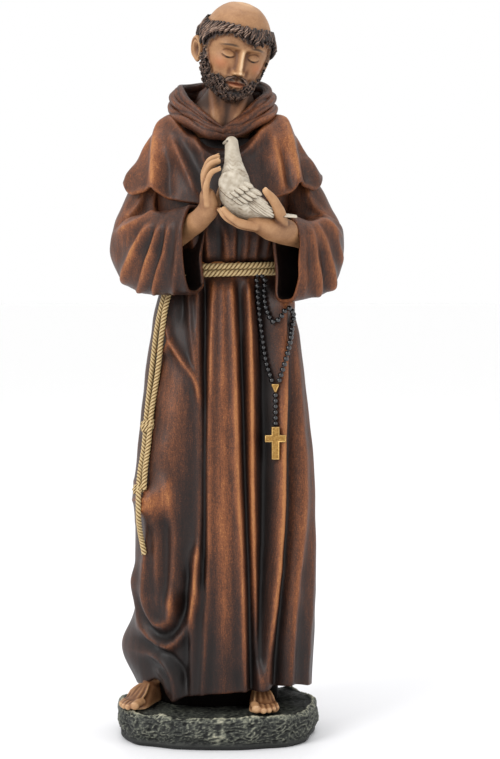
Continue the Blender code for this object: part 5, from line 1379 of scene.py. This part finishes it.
def plate_object(name, outline, thickness, place, material):
    """A cast plate as a mesh whose front and back faces follow its outline."""
    rings = bevelled_plate(outline, thickness, place)
    rows, around = rings.shape[:2]
    index = np.arange(rows * around).reshape(rows, around)
    quads = np.stack([index[:-1], np.roll(index[:-1], -1, 1), np.roll(index[1:], -1, 1), index[1:]], axis=-1)
    faces = [*quads.reshape(-1, 4).tolist(), index[0].tolist(), index[-1].tolist()]
    sizes = [len(face) for face in faces]
    points = rings.reshape(-1, 3) * UNIT + [0, 0, SOLE_HEIGHT]
    return raw_object(name, points, np.concatenate(faces), np.array(sizes), material, smooth=False)


def plate_place(surface, spot, half_size, thickness):
    """Where a plate hangs: its back just clear of the furthest forward point of the cloth behind it."""
    x, z = spot
    heights = np.linspace(z - half_size[1], z + half_size[1], 9)
    reach = [front_of(surface, x + side * half_size[0], h, 0.1) for h in heights for side in (-1, 0, 1)]
    return np.array([x, min(reach) - 0.15 - thickness / 2, z])


def bead_grids(path):
    """Beads along a path at an even pitch, each a slightly flattened ball, with the thread between them."""
    along = line_lengths(path)
    count = max(2, round(along[-1] / BEAD_PITCH))
    steps = (np.arange(count) + 0.5) / count * along[-1]
    centre = np.column_stack([np.interp(steps, along, path[:, k]) for k in range(3)])
    tangent = unit(np.gradient(centre, axis=0))
    grids = []
    for middle, along_string in zip(centre, tangent):
        turn = Vector(along_string).to_track_quat("Z", "Y").to_matrix()
        grids.append(ball_grid(middle, (BEAD_RADIUS, BEAD_RADIUS, BEAD_RADIUS * 0.96), 10, 14, turn))
    thread = tube_grid(smooth_line(path, 3 * count), 0.45, 6)
    return [*grids, thread]


def sheet_colour(value):
    """A hex sRGB colour as linear red, green, blue and full alpha."""
    channels = [int(value[k : k + 2], 16) / 255 for k in (1, 3, 5)]
    return (*[c / 12.92 if c <= 0.04045 else ((c + 0.055) / 1.055) ** 2.4 for c in channels], 1.0)


def add_node(material, kind, settings=None, **links):
    """Adds a node: settings are properties or inputs by name, links are output sockets by input name."""
    node = material.node_tree.nodes.new(kind)
    for key, value in (settings or {}).items():
        if hasattr(node, key):
            setattr(node, key, value)
        else:
            node.inputs[key].default_value = value
    for key, socket in links.items():
        material.node_tree.links.new(socket, node.inputs[key])
    return node


def ramp(material, factor, stops):
    """A colour ramp through (position, hex colour) stops."""
    node = add_node(material, "ShaderNodeValToRGB", None, Fac=factor)
    elements = node.color_ramp.elements
    while len(elements) < len(stops):
        elements.new(0.5)
    for element, (position, colour) in zip(elements, stops):
        element.position, element.color = position, sheet_colour(colour)
    return node.outputs["Color"]


def maths(material, operation, first, second):
    """One arithmetic step on two values, each a socket or a number."""
    node = add_node(material, "ShaderNodeMath", {"operation": operation})
    for slot, value in zip(node.inputs, (first, second)):
        if isinstance(value, (int, float)):
            slot.default_value = value
        else:
            material.node_tree.links.new(value, slot)
    return node.outputs[0]


def blend_colour(material, kind, factor, first, second):
    """Mixes two colours, each a socket or a hex value."""
    node = add_node(material, "ShaderNodeMix", {"data_type": "RGBA", "blend_type": kind})
    for slot, value in ((node.inputs[0], factor), (node.inputs[6], first), (node.inputs[7], second)):
        if isinstance(value, str):
            slot.default_value = sheet_colour(value)
        elif isinstance(value, (int, float)):
            slot.default_value = value
        else:
            material.node_tree.links.new(value, slot)
    return node.outputs[2]


def new_material(name, roughness, specular=0.5, metallic=0.0, coat=0.0, coat_roughness=0.3):
    """An empty painted surface with its constant values set on the shader, and its Object coordinates."""
    material = bpy.data.materials.new(name)
    material.use_nodes = True
    shader = material.node_tree.nodes["Principled BSDF"]
    shader.inputs["Roughness"].default_value = roughness
    shader.inputs["Specular IOR Level"].default_value = specular
    shader.inputs["Metallic"].default_value = metallic
    shader.inputs["Coat Weight"].default_value = coat
    shader.inputs["Coat Roughness"].default_value = coat_roughness
    place = add_node(material, "ShaderNodeTexCoord").outputs["Object"]
    return material, shader, place


def noise(material, place, scale, detail=3.0, rough=0.55, stretch=None):
    """Noise of the given scale per metre, stretched along an axis if asked."""
    if stretch is not None:
        place = add_node(material, "ShaderNodeMapping", {"Scale": stretch}, Vector=place).outputs[0]
    settings = {"Scale": scale, "Detail": detail, "Roughness": rough}
    return add_node(material, "ShaderNodeTexNoise", settings, Vector=place).outputs[0]


def attribute(material, name):
    """A number stored per vertex, as a socket."""
    return add_node(material, "ShaderNodeAttribute", {"attribute_name": name}).outputs["Fac"]


def add_pattern(material, level, pattern, weight, middle=0.5):
    """Adds a pattern to a level: the pattern less its middle, times its weight."""
    shifted = maths(material, "SUBTRACT", pattern, middle)
    return maths(material, "ADD", level, maths(material, "MULTIPLY", shifted, weight))


def finish_surface(material, shader, colour, height, strength, distance, roughness=None):
    """Links the colour, the bump height and, where it varies, the roughness to the shader."""
    links = material.node_tree.links
    links.new(colour, shader.inputs["Base Color"])
    if roughness is not None:
        links.new(roughness, shader.inputs["Roughness"])
    bump = add_node(material, "ShaderNodeBump", {"Strength": strength, "Distance": distance}, Height=height)
    links.new(bump.outputs[0], shader.inputs["Normal"])


def habit_paint():
    """Acrylic paint on cast resin: dark red-brown, near-black wash in the folds, rust-brown dry-brush,
    painted shade.

    The cast carries an uneven woven grain about 0.6 mm apart, a little coarser than the real thread so it
    shows, and a thin satin varnish gives the soft gloss on the crests.
    """
    name = "dry_brushed_brown_resin"
    material, shader, place = new_material(name, 0.42, 0.25, coat=0.08, coat_roughness=0.28)
    relief = attribute(material, "relief")
    warm_and_shade = attribute(material, "warm_and_shade")
    upright = noise(material, place, 1700.0, 3.0, 0.6, (1.0, 1.0, 0.30))
    level_thread = noise(material, place, 1900.0, 2.0, 0.6, (0.7, 0.7, 1.0))
    streak = noise(material, place, 420.0, 4.0, 0.6, (1.0, 1.0, 0.12))
    cloud = noise(material, place, 24.0, 3.0, 0.5)
    weave = maths(material, "MULTIPLY", upright, level_thread)
    level = add_pattern(material, relief, streak, 0.34)
    level = add_pattern(material, level, weave, 0.85, 0.25)
    level = add_pattern(material, level, cloud, 0.20)
    # The stored spots of warm dry-brush and of painted shade in covered places, hollows and insides
    level = add_pattern(material, level, warm_and_shade, 0.26, 0.0)
    colour = ramp(material, level, HABIT_COLOURS)
    rough = maths(material, "ADD", 0.36, maths(material, "MULTIPLY", weave, 0.5))
    finish_surface(material, shader, colour, weave, 0.5, 0.0006, rough)
    return material


def skin_paint():
    """Matt flesh paint with a brown wash in the creases and warm cheeks; the beds of hair take dark paint."""
    material, shader, place = new_material("painted_resin_flesh", 0.5, 0.3)
    relief = attribute(material, "relief")
    cloud = noise(material, place, 140.0, 3.0, 0.5)
    speck = noise(material, place, 900.0, 2.0, 0.6)
    level = add_pattern(material, relief, cloud, 0.2)
    level = add_pattern(material, level, speck, 0.12)
    skin = ramp(material, level, FLESH_COLOURS)
    for mark, weight, paint in FACE_PAINT:
        amount = maths(material, "MULTIPLY", attribute(material, mark), weight)
        skin = blend_colour(material, "MIX", amount, skin, paint)
    locks = ramp(material, level, HAIR_BED_COLOURS)
    colour = blend_colour(material, "MIX", attribute(material, "hair"), skin, locks)
    finish_surface(material, shader, colour, speck, 0.12, 0.0004)
    return material


def hair_paint():
    """Dark brown paint on carved locks, its crests dry-brushed with a dull mauve grey."""
    material, shader, place = new_material("dark_hair_paint", 0.5, 0.4)
    relief = attribute(material, "relief")
    fine = noise(material, place, 900.0, 3.0, 0.6)
    level = add_pattern(material, relief, fine, 0.4)
    colour = ramp(material, level, HAIR_COLOURS)
    finish_surface(material, shader, colour, fine, 0.25, 0.0004)
    return material


def dove_paint():
    """Off-white paint with a brown wash settled between the feathers, painted shade at their roots, a dark
    eye, a dull beak.
    """
    material, shader, place = new_material("washed_white_resin", 0.5, 0.4)
    relief = attribute(material, "relief")
    dark = attribute(material, "dark")
    fine = noise(material, place, 700.0, 3.0, 0.6)
    level = add_pattern(material, relief, fine, 0.3)
    colour = ramp(material, level, DOVE_COLOURS)
    colour = blend_colour(material, "MIX", dark, colour, "#241a14")
    finish_surface(material, shader, colour, fine, 0.2, 0.0004)
    return material


def cord_paint():
    """Straw-coloured paint on carved rope, with dark brown in the lay and pale crests."""
    material, shader, place = new_material("painted_rope_resin", 0.55, 0.35)
    relief = attribute(material, "relief")
    fine = noise(material, place, 1300.0, 3.0, 0.6)
    level = add_pattern(material, relief, fine, 0.3)
    colour = ramp(material, level, CORD_COLOURS)
    finish_surface(material, shader, colour, fine, 0.3, 0.0004)
    return material


def bead_gloss():
    """Glossy black moulded beads."""
    material, shader, place = new_material("black_glass_beads", 0.16, 0.5, coat=0.4, coat_roughness=0.08)
    smear = noise(material, place, 500.0, 2.0, 0.5)
    colour = ramp(material, smear, BEAD_COLOURS)
    rough = maths(material, "ADD", 0.10, maths(material, "MULTIPLY", smear, 0.2))
    finish_surface(material, shader, colour, smear, 0.08, 0.0002, rough)
    return material


def bronze_cast():
    """Antiqued bronze: worn bright edges over a dark brown patina."""
    material, shader, place = new_material("antique_bronze_casting", 0.38, 0.5, metallic=0.85)
    fine = noise(material, place, 1100.0, 4.0, 0.6)
    relief = attribute(material, "relief")
    level = add_pattern(material, relief, fine, 0.7)
    colour = ramp(material, level, BRONZE_COLOURS)
    rough = maths(material, "ADD", 0.28, maths(material, "MULTIPLY", fine, 0.3))
    finish_surface(material, shader, colour, fine, 0.35, 0.0003, rough)
    return material


def rock_paint():
    """Charcoal paint over cast rock, dry-brushed with grey-green on every crest, the foot rim left dark."""
    material, shader, place = new_material("dry_brushed_rock_resin", 0.62, 0.35)
    relief = attribute(material, "relief")
    rim = attribute(material, "rim")
    fine = noise(material, place, 620.0, 5.0, 0.65)
    cloud = noise(material, place, 60.0, 3.0, 0.5)
    level = add_pattern(material, relief, fine, 0.75)
    level = add_pattern(material, level, cloud, 0.25)
    colour = ramp(material, level, ROCK_COLOURS)
    colour = blend_colour(material, "MIX", rim, colour, "#191a18")
    finish_surface(material, shader, colour, fine, 0.5, 0.0006)
    return material


def stage_paint():
    """A plain white studio floor, with painted shade greyer round the statue than where it meets the white
    surround.
    """
    material, shader, place = new_material("white_studio_floor", 0.5, 0.3)
    away = add_node(material, "ShaderNodeVectorMath", {"operation": "LENGTH"}, Vector=place).outputs["Value"]
    share = maths(material, "DIVIDE", away, FLOOR_FADE)
    colour = ramp(material, share, FLOOR_SHADE_COLOURS)
    material.node_tree.links.new(colour, shader.inputs["Base Color"])
    return material


def dress(piece, slot, *nodes):
    """Every piece rides on the one body and stands for its solids, which are hidden."""
    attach(piece, "root")
    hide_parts(*nodes)


def paint_warm_and_shade(made):
    """Where the habit is brushed warm, as on the front panel and shoulders, and where it takes painted shade
    or darkens near the hem.
    """
    x, _, z = mesh_points(made).T
    facing = smooth_step(-0.3, 0.5, -mesh_normals(made)[:, 1])
    warm_and_shade = np.zeros(len(x))
    for at, height, spread, tall, amount in WARM_AND_SHADE_SPOTS:
        warm_and_shade += amount * bell(x - at, spread) * bell(z - height, tall)
    set_attribute(made, "warm_and_shade", warm_and_shade * facing)


def calm_edge(made, grid_rows, around, band):
    """Evens out the relief towards a cloth's free edge and over its lip, so that no hem is outlined."""
    relief = stored(made, "relief")
    row = np.minimum(np.arange(len(relief)) // around, grid_rows)
    keep = 0.30 + 0.70 * smooth_step(grid_rows - 1, grid_rows - 1 - band, row)
    set_attribute(made, "relief", 0.5 + (relief - 0.5) * keep)


def darken_last_rings(made, count, amount):
    """Paints a form's last points with the dark wash and painted shade: the inside of the skirt, a cuff or
    the cape.
    """
    warm_and_shade = stored(made, "warm_and_shade")
    warm_and_shade[-count:] = amount
    set_attribute(made, "warm_and_shade", warm_and_shade)


def shade_above(made, height):
    """Leaves all above a height in painted shade: the bodice where the cape and the hood cover it."""
    warm_and_shade = stored(made, "warm_and_shade")
    set_attribute(made, "warm_and_shade", warm_and_shade - 3.0 * smooth_step(height - 4, height, mesh_points(made)[:, 2]))


def build_habit(material):
    """Skirt, bodice, sleeves, cape, hood and its bag, each a surface of its own."""
    right_sleeve, left_sleeve = (sleeve_grids(SLEEVES[side], SLEEVE_ROWS, SLEEVE_AROUND) for side in (-1, 1))
    pieces = [
        mesh_object("habit_skirt", [skirt_grids(SKIRT_ROWS, SKIRT_AROUND)], material),
        mesh_object("habit_bodice", [torso_grids(BODICE_ROWS, BODICE_AROUND)], material),
        mesh_object("habit_sleeve_right_hand", [right_sleeve], material),
        mesh_object("habit_sleeve_left_hand", [left_sleeve], material),
        mesh_object("habit_cape", [cape_grids(CAPE_ROWS, CAPE_AROUND)], material),
        mesh_object("habit_hood", hood_grids(HOOD_ROWS, HOOD_AROUND), material, looped=(0, 1, 2)),
    ]
    bag = stacked_ovals([(z, HOOD_CENTRE, y, w, d) for z, w, d, y in HOOD_BAG], BAG_ROWS, BAG_AROUND)
    normal = outward(bag)
    pleat = 1 - np.abs(np.sin((bag[..., 0] - HOOD_CENTRE) * 0.16 + 0.5 * np.sin(bag[..., 2] / 16)))
    bag = bag + normal * (2.4 * (pleat - 0.4) * smooth_step(0.0, 0.7, normal[..., 1]))[..., None]
    pieces.append(mesh_object("habit_hood_bag", [bag], material))
    for piece in pieces:
        reach, scale = (6, 2.6) if piece.name == "habit_hood" else (12, 6.2)
        paint_relief(piece, reach, scale, DARK_SHARES.get(piece.name, 50))
        paint_warm_and_shade(piece)
        dress(piece, BROWN_RESIN, "statue_figure")
    # Free edges: piece, its rows and points round, rows calmed, rings of its inside, and the wash and painted
    # shade on them
    edges = (
        (0, SKIRT_ROWS, SKIRT_AROUND, 5, 3, -3.0),
        (2, SLEEVE_ROWS, SLEEVE_AROUND, 8, 7, -1.1),
        (3, SLEEVE_ROWS, SLEEVE_AROUND, 8, 7, -1.1),
        (4, CAPE_ROWS, CAPE_AROUND, 8, 4, -1.1),
    )
    for piece, rows, around, band, inside, amount in edges:
        calm_edge(pieces[piece], rows, around, band)
        darken_last_rings(pieces[piece], inside * around + 2, amount)
    shade_above(pieces[1], 343)
    return pieces


def build_head(skin, hair):
    """Head with its beds of hair, ears, neck, and the separate carved locks."""
    grid, paint, bare = head_grid(HEAD_ROWS, HEAD_AROUND)
    neck = stacked_ovals(NECK, 60, 90)
    away = neck[..., 0] - (3.0 + 5.0 * (neck[..., 2] - 346) / 40)
    reach = 2.0 + 9.0 * np.clip((neck[..., 2] - 346) / 34, 0, 1)
    tendon = bell(np.abs(away) - reach, 2.2) - 0.5 * bell(away, 2.4)
    normal = outward(neck)
    neck = neck + normal * (1.5 * tendon * smooth_step(0.0, 0.5, -normal[..., 1]))[..., None]
    head = mesh_object("head_and_neck", [grid, neck, *ear_grids()], skin)
    count = len(head.data.vertices)
    size = grid.shape[0] * grid.shape[1]
    x, z = np.abs(bare[..., 0]).ravel(), bare[..., 2].ravel()
    forward = (bare[..., 1].ravel() < -6).astype(float)
    marks = {
        "hair": paint.ravel(),
        "blush": forward * bell(x - 11.5, 4.5) * bell(z + 6.5, 3.6),
        "lips": forward * bell(x, 5.4, 4) * bell(z + 17.1, 1.9, 4),
        "brows": forward * bell(x - 8.6, 4.9, 4) * bell(z - 5.9 + 0.035 * (x - 7) ** 2, 0.75, 4),
        "eyes": forward * eye_paint(x, z),
    }
    for name, values in marks.items():
        full = np.zeros(count)
        full[:size] = values
        set_attribute(head, name, full)
    paint_relief(head, 8, 2.6)
    shade_neck(head, size + 2, neck.shape[0] * neck.shape[1])
    grids, marks = zip(*fringe_locks(), *beard_locks())
    locks = mesh_object("hair_and_beard_locks", grids, hair, marks=marks)
    dress(head, BROWN_RESIN, "statue_figure")
    dress(locks, BROWN_RESIN, "statue_figure")


def shade_neck(head, first, count):
    """A brown wash on the neck, with painted shade deeper under the jaw and towards the hood at its sides."""
    relief = stored(head, "relief")
    x, _, z = mesh_points(head)[first : first + count].T
    side = np.abs(x - 3.6) / 20
    # An even brown wash, with painted shade added at the neck's sides and under the jaw
    neck_wash_and_shade = 0.24 + 0.20 * side**2 + 0.16 * smooth_step(364, 376, z)
    relief[first : first + count] = np.clip(relief[first : first + count], 0.3, 0.7) - neck_wash_and_shade
    set_attribute(head, "relief", np.clip(relief, 0, 1))


def eye_paint(x, z):
    """Dark lash line and iris, half dark in the eye's slit beside the iris, nothing elsewhere."""
    side = (x - EYE_X) / EYE_HALF_WIDTH
    below = LASH_HEIGHT + 0.9 * side**2 - z
    inside = (np.abs(side) < 1.0).astype(float)
    lash = bell(below, 0.34)
    slit = smooth_step(0.0, 0.2, below) * smooth_step(EYE_SLIT + 0.3, EYE_SLIT, below)
    iris = bell(x - EYE_X, 1.5, 4)
    lower = 0.22 * bell(below - EYE_SLIT - 0.25, 0.3)
    return inside * np.maximum(np.maximum(lash, lower), slit * iris)


def build_flesh(name, grids, skin, smoothing):
    """Hands or feet: their forms joined to one skin, in plain flesh paint."""
    made = mesh_object(name, grids, skin)
    one_skin(made, FLESH_GRAIN, smoothing)
    paint_relief(made, 8, 2.0, 72)
    for mark in ("hair", "blush", "lips", "brows", "eyes"):
        set_attribute(made, mark, np.zeros(len(made.data.vertices)))
    dress(made, BROWN_RESIN, "statue_figure")


def hand_grids():
    """Forearms, palms, fingers and thumbs of both hands."""
    grids = [limb_grid(points, radii, 90, 48, depths) for points, radii, depths in ARMS]
    for joints, knuckle, tip in FINGERS:
        shares = np.linspace(0, 1, len(FINGER_SWELLS))
        radii = [(knuckle + (tip - knuckle) * share) * swell for share, swell in zip(shares, FINGER_SWELLS)]
        grids.append(limb_grid(joints, radii, 34, 24))
    return grids


def nail_grids():
    """Finger nails and toe nails: thin curved shells on the tips."""
    nails = []
    for finger, facing in NAILS:
        joints, _, size = FINGERS[finger]
        tip = np.array(joints[-1], float)
        nails.append(nail_grid(tip, tip - joints[-2], facing, size))
    for side in (-1, 1):
        for tip, forward, size in toe_tips(side):
            nails.append(nail_grid(tip, forward, (0, 0, 1), size))
    return nails


def nail_grid(tip, forward, facing, size):
    """One nail, long along the finger and thin the way it faces, for a tip of the given radius."""
    forward = unit(forward)
    facing = unit(np.asarray(facing, float) - forward * (forward @ facing))
    across = np.cross(forward, facing)
    turn = np.column_stack([across, forward, facing])
    centre = tip - forward * size * 0.75 + facing * size * 0.80
    return ball_grid(centre, (size * 0.62, size * 0.72, size * 0.22), 9, 14, turn)


def build_nails(skin):
    """All nails as one piece, paler than the flesh."""
    nails = mesh_object("finger_and_toe_nails", nail_grids(), skin)
    paint = {"relief": 0.82, "hair": 0.0, "blush": 0.25, "lips": 0.0, "brows": 0.0, "eyes": 0.0}
    for mark, value in paint.items():
        set_attribute(nails, mark, np.full(len(nails.data.vertices), value))
    dress(nails, BROWN_RESIN, "statue_figure")


def build_dove(material):
    """The dove with its feathers; its eye and its beak take the dark paint."""
    grids, marks = dove_grids()
    for grid, mark in wing_feathers():
        grids.append(grid)
        marks.append(mark)
    dove = mesh_object("white_dove", grids, material, marks=marks)
    points = mesh_points(dove)
    eye = bell(np.linalg.norm(points - DOVE_EYE, axis=1), 0.75, 4)
    beak = smooth_step(4.9, 3.6, points[:, 0]) * (points[:, 2] > 343)
    set_attribute(dove, "dark", np.clip(eye + 0.4 * beak, 0, 1))
    dress(dove, BROWN_RESIN, "statue_figure")


def build_cords(surface, material):
    """Two turns of rope round the waist, the two strands at the side, and their knots."""
    ropes = []
    angle = np.linspace(-math.pi, math.pi, 500)
    for turn in (0, 1):
        height = BELT - 2.2 + turn * WAIST_STEP
        half_width, half_depth = keyed(SKIRT, [height])[0][1:3]
        x, y = oval(angle, half_width + WAIST_CLEARANCE, half_depth + WAIST_CLEARANCE)
        path = np.column_stack([x + 3.0, y, height + 0.03 * x])
        ropes.append(rope_grids(path, WAIST_CORD, WAIST_PITCH))
    for number, strand in enumerate(CORD_STRANDS):
        path = laid_line(surface, strand, 150, HANGING_CORD * 0.75, 8.0)
        pitch = HANGING_PITCH * (-1) ** number
        ropes.append(rope_grids(smooth_line(path, 400), HANGING_CORD, pitch, sides=8))
    for (x, z), size in KNOTS:
        depth = front_of(surface, x, z, size * 0.6)
        turn = np.linspace(0, 2 * math.pi, 48)
        across, deep = np.cos(turn) * size, np.sin(turn) * size
        ring = np.column_stack([across * 1.05, deep * 0.9, 0.3 * across])
        for wrap in (-0.9, 0.0, 0.9):
            swell = [1.0, 1.0, 1.0] if wrap else [1.2, 1.2, 1.0]
            ropes.append(rope_grids(ring * swell + [x, depth - 1.0, z + wrap * size * 0.8], size * 0.5, 6.0))
    grids = [grid for rope, _ in ropes for grid in rope]
    marks = [mark for _, rope in ropes for mark in rope]
    cords = mesh_object("waist_and_hanging_cord", grids, material, marks=marks)
    dress(cords, BROWN_RESIN, "statue_figure")


def build_rosary(surface, beads, bronze):
    """The bead loop, the drop below it, the centre medal and the cross, all laid on the skirt."""
    path = laid_line(surface, ROSARY_LOOP, 220, BEAD_RADIUS + 0.1, 2.2)
    loop = mesh_object("rosary_bead_loop", bead_grids(path), beads)
    dress(loop, BLACK_BEADS, "rosary_loop")
    top = MEDAL_PLACE[1] - MEDAL_SIZE[1] / 2
    bottom = CROSS_PLACE[1] + CROSS_SIZE[1] / 2
    middle = CROSS_PLACE[0]
    path = laid_line(surface, ((middle, top), (middle, bottom)), 24, BEAD_RADIUS + 0.1, 2.2)
    drop = mesh_object("rosary_bead_drop", bead_grids(path), beads)
    dress(drop, BLACK_BEADS, "rosary_drop")
    plates = (
        ("rosary_centre_medal", medal_outline(), MEDAL_PLACE, MEDAL_SIZE, MEDAL_THICKNESS, "rosary_medal"),
        ("rosary_bronze_cross", cross_outline(), CROSS_PLACE, CROSS_SIZE, CROSS_THICKNESS, "rosary_cross"),
    )
    for name, outline, spot, size, thickness, node in plates:
        place = plate_place(surface, spot, (size[0] / 2, size[1] / 2), thickness)
        plate = plate_object(name, outline, thickness, place, bronze)
        near = np.clip(0.5 + (place[1] - mesh_points(plate)[:, 1]) / thickness * 0.8, 0, 1)
        set_attribute(plate, "relief", near)
        dress(plate, BRONZE, node)


def build_base(material):
    """The rock base, with the dark rim round its foot."""
    rock = rock_object(material)
    z = mesh_points(rock)[:, 2] + SOLE_HEIGHT / UNIT
    set_attribute(rock, "rim", smooth_step(4.2, 2.6, z))
    paint_relief(rock, 4, 1.5, 52)
    dress(rock, ROCK_RESIN, "rock_base")


def build_stage():
    """A white floor that reaches far enough to meet the white surround at the horizon."""
    corners = [(-FLOOR_REACH, -FLOOR_REACH, 0), (FLOOR_REACH, -FLOOR_REACH, 0)]
    corners += [(FLOOR_REACH, FLOOR_REACH, 0), (-FLOOR_REACH, FLOOR_REACH, 0)]
    mesh = bpy.data.meshes.new("studio_floor")
    mesh.from_pydata(corners, [], [(0, 1, 2, 3)])
    mesh.materials.append(stage_paint())
    floor = bpy.data.objects.new("studio_floor", mesh)
    bpy.context.scene.collection.objects.link(floor)


def place_aimed(name, data, place, aim):
    """Puts a light or a camera in its place and turns it towards a point."""
    made = bpy.data.objects.new(name, data)
    made.location = place
    made.rotation_euler = (Vector(aim) - made.location).to_track_quat("-Z", "Y").to_euler()
    bpy.context.scene.collection.objects.link(made)
    return made


def build_studio():
    """Soft boxes at both sides and above, a bright surround, and the camera at the photograph's angle."""
    for name, place, size, power in SOFT_BOXES:
        light = bpy.data.lights.new(name, "AREA")
        light.shape, light.size, light.size_y = "RECTANGLE", size[0], size[1]
        light.energy = power
        place_aimed(name, light, place, LIGHT_AIM)
    world = bpy.data.worlds.new("bright_surround")
    world.use_nodes = True
    world.node_tree.nodes["Background"].inputs[0].default_value = (1, 1, 1, 1)
    world.node_tree.nodes["Background"].inputs[1].default_value = 1.0
    scene = bpy.context.scene
    scene.world = world
    scene.view_settings.view_transform = "Standard"
    camera = bpy.data.cameras.new("camera")
    camera.sensor_width, camera.lens = 36.0, CAMERA_LENS
    scene.camera = place_aimed("camera", camera, CAMERA_PLACE, CAMERA_AIM)


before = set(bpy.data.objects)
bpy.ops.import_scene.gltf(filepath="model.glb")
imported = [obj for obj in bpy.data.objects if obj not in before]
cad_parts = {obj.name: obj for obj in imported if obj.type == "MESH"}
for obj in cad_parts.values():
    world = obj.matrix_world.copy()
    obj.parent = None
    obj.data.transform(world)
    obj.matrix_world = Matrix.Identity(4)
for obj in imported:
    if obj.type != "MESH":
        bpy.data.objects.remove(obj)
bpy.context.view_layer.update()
build_studio()
build_stage()
habit = build_habit(habit_paint())
flesh = skin_paint()
build_head(flesh, hair_paint())
build_flesh("both_hands", hand_grids(), flesh, 8)
build_flesh("both_feet", [*foot_grids(-1), *foot_grids(1)], flesh, 4)
build_nails(flesh)
build_dove(dove_paint())
cloth = surface_of(habit[0], habit[1])
build_cords(cloth, cord_paint())
build_rosary(cloth, bead_gloss(), bronze_cast())
build_base(rock_paint())
